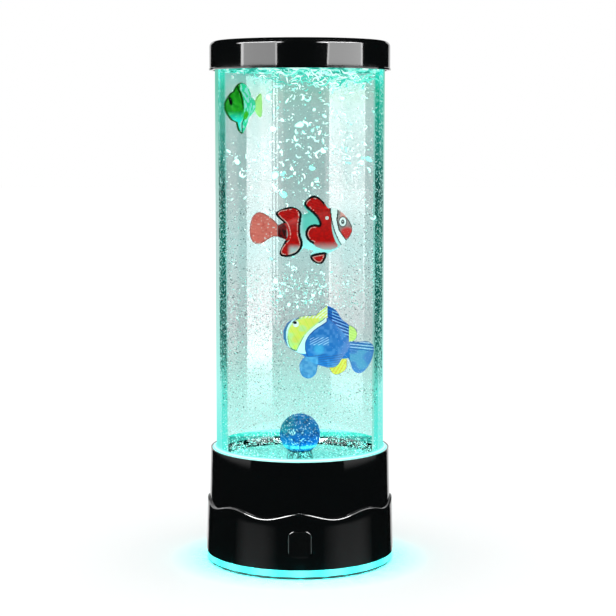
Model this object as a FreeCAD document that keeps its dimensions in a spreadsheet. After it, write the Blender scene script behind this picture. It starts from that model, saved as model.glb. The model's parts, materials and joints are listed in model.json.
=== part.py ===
"""Bubble lamp with toy fish: a clear water tube on a black base with an air pump and coloured light.

Millimetres, +Z up, origin at the centre of the lamp's footprint on the table, front at -Y.
"""

import FreeCAD, Part

import math
import os
import re

import Sketcher

Vector = FreeCAD.Vector
Rotation = FreeCAD.Rotation
Placement = FreeCAD.Placement

# Driving sizes, in millimetres, degrees or counts

DRIVING_SIZES = {
    # running and assembly clearances
    "slip_gap": 0.2,
    "glue_gap": 0.05,
    "rest_gap": 0.2,
    # rubber feet
    "foot_radius": 5.0,
    "foot_height": 1.6,
    "foot_recess": 1.0,
    "foot_inset": 13.8,
    "foot_count": 4,
    # base plate
    "plate_thickness": 2.7,
    "lip_inset": 0.4,
    "plate_lip_thickness": 0.8,
    # light ring
    "ring_inset": 0.4,
    "ring_height": 3.9,
    "ring_rise": 2.7,
    "ring_rise_width": 2.2,
    # lower shell with its wavy shoulder
    "lower_taper": 0.9,
    "ledge_width": 1.3,
    "lower_height": 30.1,
    "shell_wall": 2.4,
    "wave_rise": 1.75,
    "wave_lobes": 8,
    "shoulder_round": 0.9,
    "web_depth": 4.9,
    "web_thickness": 2.5,
    "web_width": 9.5,
    "post_inset": 3.5,
    "post_radius": 4.0,
    # upper shell, the collar that holds the tube
    "upper_taper": 0.7,
    "rim_width": 2.2,
    "upper_height": 30.4,
    "seal_width": 1.1,
    "rim_land": 0.7,
    "rim_slope": 2.2,
    "deck_depth": 14.5,
    "deck_thickness": 4.0,
    "deck_width": 7.7,
    "column_inset": 0.2,
    "column_radius": 3.5,
    # clear water tube and its glued floor
    "tube_radius": 48.6,
    "tube_wall": 3.0,
    "tube_length": 242.0,
    "floor_flange": 3.0,
    "floor_plug": 3.0,
    "floor_gasket": 1.0,
    "gasket_width": 5.6,
    "seal_drop": 0.2,
    "seal_rise": 1.6,
    "seal_depth": 3.2,
    # lid
    "lid_play": 1.15,
    "lid_height": 16.5,
    "lid_top": 2.5,
    "lid_wall": 2.0,
    "lid_round": 3.2,
    "lid_bead": 0.3,
    "lid_bead_height": 1.0,
    "splash_ring_wall": 1.6,
    "splash_ring_gap": 0.5,
    "splash_ring_depth": 8.5,
    "lid_rib_count": 8,
    "lid_rib_width": 1.6,
    "lid_vent_width": 6.0,
    "lid_vent_depth": 1.0,
    "lid_vent_count": 4,
    # screws
    "screw_radius": 1.5,
    "screw_head_radius": 2.8,
    "screw_head_height": 1.4,
    "shell_screw_length": 9.0,
    "base_screw_length": 10.0,
    "small_screw_radius": 1.1,
    "small_head_radius": 2.1,
    "small_head_height": 1.2,
    "small_screw_length": 4.2,
    "pilot_gap": 0.05,
    "screw_play": 0.3,
    "screw_count": 4,
    # power button
    "button_width": 13.0,
    "button_height": 14.9,
    "button_corner": 3.4,
    "button_gap": 0.25,
    "button_board_drop": 0.6,
    "button_proud": 0.5,
    "button_edge_round": 0.45,
    "button_flange": 1.8,
    "button_flange_rise": 0.4,
    "button_flange_thickness": 1.3,
    "button_flange_gap": 0.3,
    "button_stem_radius": 2.4,
    "button_travel": 0.8,
    # button board and its key switch
    "button_board_width": 33.0,
    "button_board_height": 15.0,
    "board_thickness": 1.6,
    "button_board_setback": 13.3635,
    "button_boss_spacing": 25.0,
    "button_boss_radius": 2.6,
    "switch_side": 6.0,
    "switch_depth": 3.8,
    "plunger_radius": 1.7,
    "plunger_gap": 0.05,
    "plunger_rest": 0.6,
    # control board and power inlet
    "control_board_width": 28.0,
    "control_board_length": 27.0,
    "inlet_overhang": 3.6472,
    "control_board_rise": 5.7,
    "board_post_radius": 3.0,
    "board_post_spacing": 20.5,
    "board_post_inset": 3.6,
    "inlet_width": 9.0,
    "inlet_length": 14.0,
    "inlet_height": 11.0,
    "inlet_axis": 6.5,
    "inlet_snout_radius": 3.9,
    "inlet_bore": 2.85,
    "inlet_depth": 9.5,
    "inlet_pin_radius": 1.05,
    "inlet_pin_length": 8.5,
    "inlet_wall_gap": 0.4,
    "inlet_reach": 1.8,
    "chip_width": 7.5,
    "chip_length": 5.0,
    "chip_height": 1.7,
    "part_spacing": 1.0,
    "capacitor_radius": 2.5,
    "capacitor_height": 7.0,
    "socket_width": 5.0,
    "socket_length": 4.0,
    "socket_height": 5.0,
    "socket_spacing": 7.4,
    # light boards
    "light_board_gap": 1.0,
    "light_board_bore": 9.0,
    "light_screw_inset": 4.5,
    "light_count": 12,
    "light_circle": 33.0,
    "light_side": 5.0,
    "light_height": 1.6,
    "ring_board_width": 8.5,
    "ring_board_gap": 0.8,
    "ring_light_count": 16,
    "ring_light_width": 4.0,
    "ring_light_depth": 1.6,
    "ring_light_height": 1.5,
    # air pump
    "pump_axis_rise": 16.2,
    "pump_board_gap": 3.0,
    "motor_radius": 12.0,
    "motor_length": 30.0,
    "motor_end": -33.0,
    "motor_boss_radius": 5.0,
    "motor_boss_length": 1.6,
    "sleeve_thickness": 2.0,
    "sleeve_length": 22.0,
    "head_radius": 13.4,
    "head_length": 14.0,
    "cover_radius": 12.2,
    "cover_length": 9.0,
    "pump_spout_length": 7.0,
    "saddle_thickness": 2.4,
    "saddle_half_width": 15.5,
    "strap_thickness": 1.6,
    "strap_width": 8.0,
    "strap_ear": 7.0,
    "strap_post_radius": 3.2,
    # air line
    "hose_radius": 2.65,
    "hose_bore": 1.65,
    "barb_radius": 1.6,
    "barb_length": 7.0,
    "valve_radius": 4.4,
    "valve_cap_radius": 3.8,
    "valve_length": 12.0,
    "air_line_front": 26.0,
    "air_line_inset": 11.7,
    # air nozzle and the stone that stands on it
    "nozzle_foot_radius": 7.9,
    "nozzle_top_radius": 7.0,
    "nozzle_foot_height": 3.9,
    "nozzle_washer": 0.8,
    "nozzle_stem_radius": 3.0,
    "nozzle_bore": 0.9,
    "nozzle_drop": 20.4,
    "nozzle_elbow_rise": 2.6,
    "nozzle_tip_radius": 1.9,
    "nozzle_tip_length": 5.0,
    "nut_across_flats": 11.0,
    "nut_height": 3.6,
    "stone_radius": 12.0,
    "stone_rise": 14.6,
    "stone_bore": 2.0,
    "stone_bore_depth": 9.0,
    # toy fish: length, place and heading
    "fin_thickness": 1.6,
    "clownfish_length": 59.0,
    "clownfish_right": 0.65,
    "clownfish_back": -5.2,
    "clownfish_rise": 133.8,
    "blue_fish_length": 53.8,
    "blue_fish_gap": 2.2,
    "blue_fish_back": 9.0,
    "blue_fish_rise": 68.3,
    "green_fish_length": 36.0,
    "green_fish_inset": 12.8,
    "green_fish_back": 4.2,
    "green_fish_drop": 34.2,
    "green_fish_turn": 55.0,
    # internal wires
    "wire_radius": 1.0,
    "wire_margin": 4.0,
    "ring_wire_turn": 28.0,
    "ring_wire_gap": 0.5,
    "ring_wire_rise": 6.0,
}

DOCUMENT = FreeCAD.newDocument("bubble_lamp")
SHEET = DOCUMENT.addObject("Spreadsheet::Sheet", "sizes")
for row, (alias, number) in enumerate(DRIVING_SIZES.items(), start=1):
    SHEET.set(f"A{row}", alias.replace("_", " "))
    SHEET.set(f"B{row}", str(number))
    SHEET.setAlias(f"B{row}", alias)
DOCUMENT.recompute()

# Radii, each counted from the tube outward or from the wall inward

TUBE_BORE = "(tube_radius - tube_wall)"
LID_RADIUS = "(tube_radius + lid_play + lid_wall)"
UPPER_BORE = "(tube_radius + seal_width)"
UPPER_RIM_RADIUS = f"({UPPER_BORE} + rim_width)"
UPPER_FOOT_RADIUS = f"({UPPER_RIM_RADIUS} + upper_taper)"
LOWER_TOP_RADIUS = f"({UPPER_FOOT_RADIUS} + ledge_width)"
LOWER_FOOT_RADIUS = f"({LOWER_TOP_RADIUS} + lower_taper)"
RING_RADIUS = f"({LOWER_FOOT_RADIUS} - ring_inset)"
PLATE_LIP_RADIUS = f"({RING_RADIUS} - lip_inset)"
PLATE_RADIUS = f"({LOWER_FOOT_RADIUS} - shell_wall - 2 * slip_gap - ring_rise_width)"
FOOT_CIRCLE = f"({PLATE_RADIUS} - foot_inset)"
WEB_BORE = f"({LOWER_TOP_RADIUS} - shell_wall - web_width)"
POST_CIRCLE = f"({LOWER_TOP_RADIUS} - shell_wall - post_radius - post_inset)"
DECK_BORE = f"({UPPER_BORE} - deck_width)"
COLUMN_CIRCLE = f"({UPPER_BORE} - column_radius - column_inset)"
LIGHT_BOARD_RADIUS = f"({UPPER_BORE} - light_board_gap)"
LIGHT_SCREW_CIRCLE = f"({UPPER_BORE} - light_screw_inset)"
RING_BOARD_OUTER = f"({PLATE_RADIUS} - ring_board_gap)"
RING_BOARD_INNER = f"({RING_BOARD_OUTER} - ring_board_width)"
RING_WIRE_SIDE = f"({RING_BOARD_INNER} - ring_wire_gap)"
AIR_LINE_SIDE = f"({UPPER_BORE} - air_line_inset)"
VALVE_SIDE = f"({AIR_LINE_SIDE} / 2)"
BLUE_FISH_RIGHT = f"({TUBE_BORE} - blue_fish_length / 2 - blue_fish_gap)"
GREEN_FISH_RIGHT = f"(green_fish_inset - {TUBE_BORE})"

# Heights of the stack, each counted from the piece that carries it

PLATE_BOTTOM = "(foot_height - foot_recess)"
LIP_TOP = f"({PLATE_BOTTOM} + plate_lip_thickness)"
PLATE_TOP = f"({PLATE_BOTTOM} + plate_thickness)"
RING_TOP = f"({LIP_TOP} + ring_height)"
SEAM = f"({RING_TOP} + lower_height)"
WEB_TOP = f"({SEAM} - web_depth)"
WEB_BOTTOM = f"({WEB_TOP} - web_thickness)"
RIM_TOP = f"({SEAM} + upper_height)"
DECK_TOP = f"({RIM_TOP} - deck_depth)"
DECK_BOTTOM = f"({DECK_TOP} - deck_thickness)"
FLANGE_BOTTOM = f"({DECK_TOP} + floor_gasket)"
TUBE_BOTTOM = f"({FLANGE_BOTTOM} + floor_flange)"
FLOOR = f"({TUBE_BOTTOM} + floor_plug)"
TUBE_TOP = f"({TUBE_BOTTOM} + tube_length)"
LID_UNDERSIDE = f"({TUBE_TOP} + rest_gap)"
LID_TOP = f"({LID_UNDERSIDE} + lid_top)"
LID_BOTTOM = f"({LID_TOP} - lid_height)"
LIGHT_BOARD_BOTTOM = f"({DECK_BOTTOM} - board_thickness)"
BUTTON_RISE = f"({WEB_BOTTOM} - button_board_drop - button_board_height / 2 - {RING_TOP})"
GREEN_FISH_RISE = f"({TUBE_TOP} - {FLOOR} - green_fish_drop)"

# Places of the inner pieces

BUTTON_AXIS = f"({RING_TOP} + {BUTTON_RISE})"
PUMP_AXIS = f"({PLATE_TOP} + pump_axis_rise)"
CONTROL_BOARD_BOTTOM = f"({PLATE_TOP} + control_board_rise)"
CONTROL_BOARD_TOP = f"({CONTROL_BOARD_BOTTOM} + board_thickness)"
INLET_AXIS = f"({CONTROL_BOARD_TOP} + inlet_axis)"
NOZZLE_FOOT = f"({FLOOR} + nozzle_washer)"
NOZZLE_BOTTOM = f"({FLOOR} - nozzle_drop)"
AIR_LINE = f"({NOZZLE_BOTTOM} + nozzle_elbow_rise)"
STONE_CENTRE = f"({FLOOR} + stone_rise)"
RING_BOARD_TOP = f"({PLATE_TOP} + board_thickness)"
LOWER_SLOPE = f"(({LOWER_FOOT_RADIUS} - {LOWER_TOP_RADIUS}) / lower_height)"
WALL_AT_BUTTON = f"({LOWER_FOOT_RADIUS} - {BUTTON_RISE} * {LOWER_SLOPE})"
WALL_AT_INLET = f"({LOWER_FOOT_RADIUS} - ({INLET_AXIS} - {RING_TOP}) * {LOWER_SLOPE})"
WALL_AT_WEB = f"({LOWER_FOOT_RADIUS} - ({WEB_BOTTOM} - {RING_TOP}) * {LOWER_SLOPE})"
BUTTON_BOARD_DEPTH = f"({WALL_AT_BUTTON} - button_board_setback)"
INLET_FACE = f"({WALL_AT_INLET} - shell_wall - inlet_wall_gap)"
CONTROL_BOARD_FRONT = f"({INLET_FACE} - inlet_overhang - control_board_length)"
SMALL_PILOT = "(small_screw_radius + pilot_gap)"
SLEEVE_RADIUS = "(motor_radius + sleeve_thickness)"
SLEEVE_START = "(motor_end + (motor_length - sleeve_length) / 2)"
SADDLE_LEFT = f"({SLEEVE_START} + saddle_thickness)"
SADDLE_RIGHT = f"({SLEEVE_START} + sleeve_length - saddle_thickness)"
PUMP_BACK = f"({CONTROL_BOARD_FRONT} - pump_board_gap - {SLEEVE_RADIUS})"
STRAP_MIDDLE = f"({SLEEVE_START} + sleeve_length / 2)"
STRAP_REACH = f"({SLEEVE_RADIUS} + strap_thickness + strap_ear / 2)"
HEAD_START = "(motor_end + motor_length)"
COVER_START = f"({HEAD_START} + head_length)"
COVER_END = f"({COVER_START} + cover_length)"
BOARD_POST_BACK = f"({CONTROL_BOARD_FRONT} + board_post_inset)"
SWITCH_FACE = f"({BUTTON_BOARD_DEPTH} + switch_depth)"
PLUNGER_TIP = f"({SWITCH_FACE} + button_travel + plunger_rest)"
SOCKET_BACK = f"({CONTROL_BOARD_FRONT} + 2 * board_post_inset + part_spacing + socket_length / 2)"
SOCKET_STEPS = ("-1.5", "-0.5", "0.5", "1.5")
WIRE_SHELF = f"({PUMP_AXIS} + {SLEEVE_RADIUS} / 2 + wire_radius / 2)"
WIRE_BRIDGE = f"({PUMP_AXIS} + {SLEEVE_RADIUS} + 2 * wire_radius)"

ALIAS = re.compile(r"\b(" + "|".join(DRIVING_SIZES) + r")\b")
AXES = {"X": Vector(1, 0, 0), "Y": Vector(0, 1, 0), "Z": Vector(0, 0, 1)}
FINISHED = []


def value(expression):
    """The number that an expression of sheet sizes gives now."""
    return float(SHEET.evalExpression(str(expression)))


def bind(item, field, expression):
    """Ties one property of an object to an expression of sheet sizes."""
    item.setExpression(field, ALIAS.sub(r"sizes.\1", str(expression)))


def place(item, across="0", back="0", up="0", axis="Z", turn=None):
    """Puts an object at a point given by expressions, with its own Z along an axis, then turned about Z."""
    rotation = Rotation(AXES["Z"], AXES[axis])
    if turn is not None:
        rotation = Rotation(AXES["Z"], turn).multiply(rotation)
    item.Placement = Placement(Vector(value(across), value(back), value(up)), rotation)
    for field, expression in (("x", across), ("y", back), ("z", up)):
        bind(item, f"Placement.Base.{field}", expression)
    return item


def finish(item, label):
    """Names a finished piece and keeps it for the export."""
    item.Label = label
    FINISHED.append(item)
    return item


def cylinder(radius, height, across="0", back="0", up="0", axis="Z"):
    item = DOCUMENT.addObject("Part::Cylinder", "round")
    bind(item, "Radius", radius)
    bind(item, "Height", height)
    return place(item, across, back, up, axis)


def cone(radius_low, radius_high, height, across="0", back="0", up="0", axis="Z"):
    item = DOCUMENT.addObject("Part::Cone", "taper")
    bind(item, "Radius1", radius_low)
    bind(item, "Radius2", radius_high)
    bind(item, "Height", height)
    return place(item, across, back, up, axis)


def block(width, depth, height, across="0", back="0", up="0"):
    """A box whose middle of width and depth stands at the given point."""
    item = DOCUMENT.addObject("Part::Box", "block")
    bind(item, "Length", width)
    bind(item, "Width", depth)
    bind(item, "Height", height)
    return place(item, f"({across}) - ({width}) / 2", f"({back}) - ({depth}) / 2", up)


def sphere(radius, across="0", back="0", up="0"):
    item = DOCUMENT.addObject("Part::Sphere", "ball")
    bind(item, "Radius", radius)
    return place(item, across, back, up)


def fuse(*items):
    item = DOCUMENT.addObject("Part::MultiFuse", "joined")
    item.Shapes = list(items)
    return item


def cut(base, *tools):
    item = DOCUMENT.addObject("Part::Cut", "trimmed")
    item.Base = base
    item.Tool = tools[0] if len(tools) == 1 else fuse(*tools)
    return item


def common(base, tool):
    item = DOCUMENT.addObject("Part::Common", "shared")
    item.Base = base
    item.Tool = tool
    return item


def group(items):
    """Like pieces that stay separate solids in one node."""
    item = DOCUMENT.addObject("Part::Compound", "set")
    item.Links = list(items)
    return item


def round_edges(base, radius, choose):
    """Rounds the edges of an object that a test picks, all with one radius."""
    DOCUMENT.recompute()
    item = DOCUMENT.addObject("Part::Fillet", "rounded")
    item.Base = base
    size = value(radius)
    item.Edges = [(number, size, size) for number, edge in enumerate(base.Shape.Edges, 1) if choose(edge)]
    return item


def around(count, start=0.0):
    """The angles of evenly spaced copies about the lamp's axis, in degrees."""
    number = int(round(value(count)))
    return [start + 360.0 * step / number for step in range(number)]


def polar(circle, angle):
    """Across and back expressions of a point on a circle about the lamp's axis."""
    return f"({circle}) * cos({angle})", f"({circle}) * sin({angle})"


# Sketched bodies


def origin_feature(body, role):
    return next(item for item in body.Origin.OriginFeatures if item.Role == role)


def new_body(name):
    return DOCUMENT.addObject("PartDesign::Body", name)


def sketch_on(body, plane, name, offset=None):
    sketch = body.newObject("Sketcher::SketchObject", name)
    sketch.AttachmentSupport = (origin_feature(body, plane), [""])
    sketch.MapMode = "FlatFace"
    if offset is not None:
        sketch.AttachmentOffset = Placement(Vector(0, 0, value(offset)), Rotation())
        bind(sketch, "AttachmentOffset.Base.z", offset)
    return sketch


def pin_point(sketch, geometry, end, across, up):
    """Holds a point of a sketch at two expressions, measured from the origin."""
    for kind, axis, expression in (("DistanceX", -2, across), ("DistanceY", -1, up)):
        if value(expression) == 0:
            sketch.addConstraint(Sketcher.Constraint("PointOnObject", geometry, end, axis))
            continue
        index = sketch.addConstraint(Sketcher.Constraint(kind, -1, 1, geometry, end, value(expression)))
        bind(sketch, f"Constraints[{index}]", expression)


def outline(sketch, corners):
    """A closed outline of straight lines through corners given as pairs of expressions."""
    points = [Vector(value(across), value(up), 0) for across, up in corners]
    first = sketch.GeometryCount
    count = len(corners)
    for step in range(count):
        sketch.addGeometry(Part.LineSegment(points[step], points[(step + 1) % count]), False)
    for step in range(count):
        after = first + (step + 1) % count
        sketch.addConstraint(Sketcher.Constraint("Coincident", first + step, 2, after, 1))
    for step, (across, up) in enumerate(corners):
        pin_point(sketch, first + step, 1, across, up)


def ring(sketch, radius, across="0", up="0"):
    """A circle in a sketch, with its radius and centre bound."""
    centre = Vector(value(across), value(up), 0)
    circle = sketch.addGeometry(Part.Circle(centre, Vector(0, 0, 1), value(radius)), False)
    index = sketch.addConstraint(Sketcher.Constraint("Radius", circle, value(radius)))
    bind(sketch, f"Constraints[{index}]", radius)
    pin_point(sketch, circle, 3, across, up)


def turn_profile(body, corners, name="turned"):
    """A full turn about Z of a profile whose corners are radius and height."""
    sketch = sketch_on(body, "XZ_Plane", f"{name}_profile")
    outline(sketch, corners)
    feature = body.newObject("PartDesign::Revolution", name)
    feature.Profile = sketch
    feature.ReferenceAxis = (origin_feature(body, "Z_Axis"), [""])
    feature.Angle = 360
    return feature


def pad(body, sketch, length, name, downward=False):
    feature = body.newObject("PartDesign::Pad", name)
    feature.Profile = sketch
    feature.Reversed = downward
    bind(feature, "Length", length)
    return feature


def pocket(body, sketch, length, name, upward=False):
    """A pocket that must take material away: it cuts below its sketch, or above it."""
    feature = body.newObject("PartDesign::Pocket", name)
    feature.Profile = sketch
    feature.Reversed = upward
    bind(feature, "Length", length)
    DOCUMENT.recompute()
    before = feature.BaseFeature.Shape.Volume
    if feature.Shape.Volume >= before - 1e-6:
        raise RuntimeError(f"{name} cuts nothing")
    return feature


def repeat_around(body, feature, count):
    """Evenly spaced copies of a feature about Z."""
    pattern = body.newObject("PartDesign::PolarPattern", f"{feature.Name}_pattern")
    pattern.Originals = [feature]
    pattern.Axis = (origin_feature(body, "Z_Axis"), [""])
    pattern.Angle = 360
    bind(pattern, "Occurrences", count)
    body.Tip = pattern
    return pattern


def round_body(body, radius, choose, name="rounding"):
    """Rounds edges of a body's last feature, picked by a test."""
    DOCUMENT.recompute()
    base = body.Tip
    feature = body.newObject("PartDesign::Fillet", name)
    edges = [f"Edge{number}" for number, edge in enumerate(base.Shape.Edges, 1) if choose(edge)]
    feature.Base = (base, edges)
    bind(feature, "Radius", radius)
    body.Tip = feature
    return feature


def rim_edge(radius, height, margin=0.05):
    """A test for a full circular edge about Z, of one radius at one height."""
    wanted_radius, wanted_height = value(radius), value(height)

    def test(edge):
        if not isinstance(edge.Curve, Part.Circle):
            return False
        centre = edge.Curve.Center
        on_axis = math.hypot(centre.x, centre.y) < margin
        same_radius = abs(edge.Curve.Radius - wanted_radius) < margin
        return on_axis and same_radius and abs(centre.z - wanted_height) < margin

    return test


# Rubber feet, base plate and light ring


def make_feet():
    """Four round rubber pads, pressed into recesses under the base plate."""
    feet = []
    for angle in around("foot_count"):
        across, back = polar(FOOT_CIRCLE, angle)
        feet.append(cylinder("foot_radius - slip_gap", "foot_height", across, back))
    finish(group(feet), "rubber_feet")


def make_base_plate():
    """The bottom cover: a disc whose thin lip carries the light ring, with posts for what it holds."""
    body = new_body("base_plate_body")
    turn_profile(body, [
        ("0", PLATE_BOTTOM),
        (PLATE_LIP_RADIUS, PLATE_BOTTOM),
        (PLATE_LIP_RADIUS, LIP_TOP),
        (PLATE_RADIUS, LIP_TOP),
        (PLATE_RADIUS, PLATE_TOP),
        ("0", PLATE_TOP),
    ])

    recess = sketch_on(body, "XY_Plane", "foot_recess_outline", PLATE_BOTTOM)
    ring(recess, "foot_radius", FOOT_CIRCLE)
    repeat_around(body, pocket(body, recess, "foot_recess", "foot_recess_cut", upward=True), "foot_count")

    across, back = polar(POST_CIRCLE, 45)
    hole = sketch_on(body, "XY_Plane", "screw_hole_outline", PLATE_BOTTOM)
    ring(hole, "screw_radius + screw_play", across, back)
    repeat_around(body, pocket(body, hole, "plate_thickness", "screw_hole", upward=True), "screw_count")
    head = sketch_on(body, "XY_Plane", "screw_head_outline", PLATE_BOTTOM)
    ring(head, "screw_head_radius + screw_play", across, back)
    sunk = pocket(body, head, "screw_head_height", "screw_head_recess", upward=True)
    repeat_around(body, sunk, "screw_count")

    saddles = sketch_on(body, "XY_Plane", "saddle_outline", PLATE_TOP)
    for middle in (SADDLE_LEFT, SADDLE_RIGHT):
        outline(saddles, [
            (f"{middle} - saddle_thickness / 2", f"{PUMP_BACK} - saddle_half_width"),
            (f"{middle} + saddle_thickness / 2", f"{PUMP_BACK} - saddle_half_width"),
            (f"{middle} + saddle_thickness / 2", f"{PUMP_BACK} + saddle_half_width"),
            (f"{middle} - saddle_thickness / 2", f"{PUMP_BACK} + saddle_half_width"),
        ])
    pad(body, saddles, "pump_axis_rise", "saddles")
    hollow = sketch_on(body, "YZ_Plane", "saddle_hollow_outline", f"{SADDLE_LEFT} - saddle_thickness")
    ring(hollow, f"{SLEEVE_RADIUS} + glue_gap", PUMP_BACK, PUMP_AXIS)
    span = f"{SADDLE_RIGHT} - {SADDLE_LEFT} + 2 * saddle_thickness"
    pocket(body, hollow, span, "saddle_hollow", upward=True)

    posts = sketch_on(body, "XY_Plane", "strap_post_outline", PLATE_TOP)
    for side in ("-1", "1"):
        ring(posts, "strap_post_radius", STRAP_MIDDLE, f"{PUMP_BACK} + ({side}) * {STRAP_REACH}")
    pad(body, posts, "pump_axis_rise", "strap_posts")
    board_posts = sketch_on(body, "XY_Plane", "board_post_outline", PLATE_TOP)
    for side in ("-1", "1"):
        ring(board_posts, "board_post_radius", f"({side}) * board_post_spacing / 2", BOARD_POST_BACK)
    pad(body, board_posts, "control_board_rise", "board_posts")

    strap_holes = sketch_on(body, "XY_Plane", "strap_hole_outline", PUMP_AXIS)
    for side in ("-1", "1"):
        ring(strap_holes, SMALL_PILOT, STRAP_MIDDLE, f"{PUMP_BACK} + ({side}) * {STRAP_REACH}")
    pocket(body, strap_holes, "small_screw_length", "strap_holes")
    board_holes = sketch_on(body, "XY_Plane", "board_hole_outline", CONTROL_BOARD_BOTTOM)
    for side in ("-1", "1"):
        ring(board_holes, SMALL_PILOT, f"({side}) * board_post_spacing / 2", BOARD_POST_BACK)
    pocket(body, board_holes, "small_screw_length", "board_holes")
    finish(body, "base_plate")


def make_light_ring():
    """The translucent ring that glows at the foot; its inner rise takes light from the ring board."""
    body = new_body("light_ring_body")
    inner = f"{PLATE_RADIUS} + slip_gap"
    rise = f"{LOWER_FOOT_RADIUS} - shell_wall - slip_gap"
    turn_profile(body, [
        (inner, LIP_TOP),
        (RING_RADIUS, LIP_TOP),
        (RING_RADIUS, RING_TOP),
        (rise, RING_TOP),
        (f"{rise} - ring_rise * {LOWER_SLOPE}", f"{RING_TOP} + ring_rise"),
        (inner, f"{RING_TOP} + ring_rise"),
    ])
    finish(body, "light_ring")


# The two black shells meet along a wave of eight lobes


def wave_curve(radius):
    """A closed curve on a cylinder: height = seam + rise * cos(lobes * angle), a crest at the front."""
    seam, rise, lobes = value(SEAM), value("wave_rise"), int(round(value("wave_lobes")))
    steps = 8 * lobes
    points = []
    for step in range(steps):
        angle = 2 * math.pi * step / steps
        height = seam + rise * math.cos(lobes * angle)
        points.append(Vector(radius * math.sin(angle), -radius * math.cos(angle), height))
    curve = Part.BSplineCurve()
    curve.interpolate(Points=points, PeriodicFlag=True)
    return curve.toShape()


def make_wave_tool(inner_radius):
    """Everything under the wave, from a radius to outside the shells."""
    inner = wave_curve(value(inner_radius))
    outer = wave_curve(value(LOWER_FOOT_RADIUS) + value("shell_wall"))
    band = Part.makeRuledSurface(inner, outer)
    tool = DOCUMENT.addObject("Part::Feature", "under_the_wave")
    tool.Shape = band.extrude(Vector(0, 0, -value(SEAM)))
    return tool


def make_lower_shell():
    """The button housing: a tapered wall, wavy on top, with a web, screw posts and board bosses."""
    body = new_body("lower_shell_body")
    crest = "(wave_rise + shoulder_round)"
    top_outer = f"({LOWER_TOP_RADIUS} - {crest} * {LOWER_SLOPE})"
    turn_profile(body, [
        (LOWER_FOOT_RADIUS, RING_TOP),
        (top_outer, f"{SEAM} + {crest}"),
        (f"{LOWER_TOP_RADIUS} - shell_wall", f"{SEAM} + {crest}"),
        (f"{LOWER_TOP_RADIUS} - shell_wall", WEB_TOP),
        (WEB_BORE, WEB_TOP),
        (WEB_BORE, WEB_BOTTOM),
        (f"{WALL_AT_WEB} - shell_wall", WEB_BOTTOM),
        (f"{LOWER_FOOT_RADIUS} - shell_wall", RING_TOP),
    ])
    across, back = polar(POST_CIRCLE, 45)
    post = sketch_on(body, "XY_Plane", "post_outline", PLATE_TOP)
    ring(post, "post_radius", across, back)
    repeat_around(body, pad(body, post, f"{WEB_BOTTOM} - {PLATE_TOP} + glue_gap", "post"), "screw_count")
    pilot = sketch_on(body, "XY_Plane", "pilot_outline", PLATE_TOP)
    ring(pilot, "screw_radius + pilot_gap", across, back)
    repeat_around(body, pocket(body, pilot, "base_screw_length", "pilot", upward=True), "screw_count")
    clearance = sketch_on(body, "XY_Plane", "web_hole_outline", WEB_TOP)
    ring(clearance, "screw_radius + screw_play", COLUMN_CIRCLE)
    repeat_around(body, pocket(body, clearance, "web_thickness", "web_hole"), "screw_count")

    bosses = []
    for side in ("-1", "1"):
        across = f"({side}) * button_boss_spacing / 2"
        reach = f"{WALL_AT_BUTTON} - {BUTTON_BOARD_DEPTH}"
        bosses.append(cylinder("button_boss_radius", reach, across, f"-({WALL_AT_BUTTON})", BUTTON_AXIS, "Y"))
    boss_limit = cone(
        f"{LOWER_FOOT_RADIUS} - shell_wall / 2", f"{LOWER_TOP_RADIUS} - shell_wall / 2", "lower_height",
        up=RING_TOP,
    )
    shell = fuse(body, common(group(bosses), boss_limit))
    holes = []
    for side in ("-1", "1"):
        across = f"({side}) * button_boss_spacing / 2"
        back = f"-{BUTTON_BOARD_DEPTH} - small_screw_length + board_thickness"
        holes.append(cylinder(SMALL_PILOT, "small_screw_length", across, back, BUTTON_AXIS, "Y"))
    window = rounded_button(
        "button_width + 2 * button_gap", "button_height + 2 * button_gap", "button_corner + button_gap",
        f"{WALL_AT_BUTTON} - 3 * shell_wall", "5 * shell_wall",
    )
    inlet = cylinder(
        "inlet_snout_radius + slip_gap", "4 * shell_wall", back=f"{WALL_AT_INLET} - 2 * shell_wall",
        up=INLET_AXIS, axis="Y",
    )
    opened = cut(shell, window, inlet, *holes)
    shaped = common(opened, lower_half(make_wave_tool(WEB_BORE)))
    radius = value(LOWER_TOP_RADIUS)
    finish(round_edges(shaped, "shoulder_round", wave_edge(radius)), "lower_shell")


def lower_half(wave):
    """The wave tool with a plain core, so that it also keeps what stands inside the shells."""
    core = cylinder(f"{WEB_BORE} + glue_gap", f"{SEAM} - wave_rise - {PLATE_BOTTOM}", up=PLATE_BOTTOM)
    return fuse(wave, core)


def wave_edge(radius, margin=1.0):
    """A test for the outer wavy edge: it lies about a radius out and rises and falls with the wave."""
    seam, rise = value(SEAM), value("wave_rise")

    def test(edge):
        box = edge.BoundBox
        wavy = box.ZLength > 0.9 * rise and box.ZMin > seam - 1.5 * rise and box.ZMax < seam + 1.5 * rise
        start = edge.valueAt(edge.FirstParameter)
        return wavy and abs(math.hypot(start.x, start.y) - radius) < margin

    return test


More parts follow.
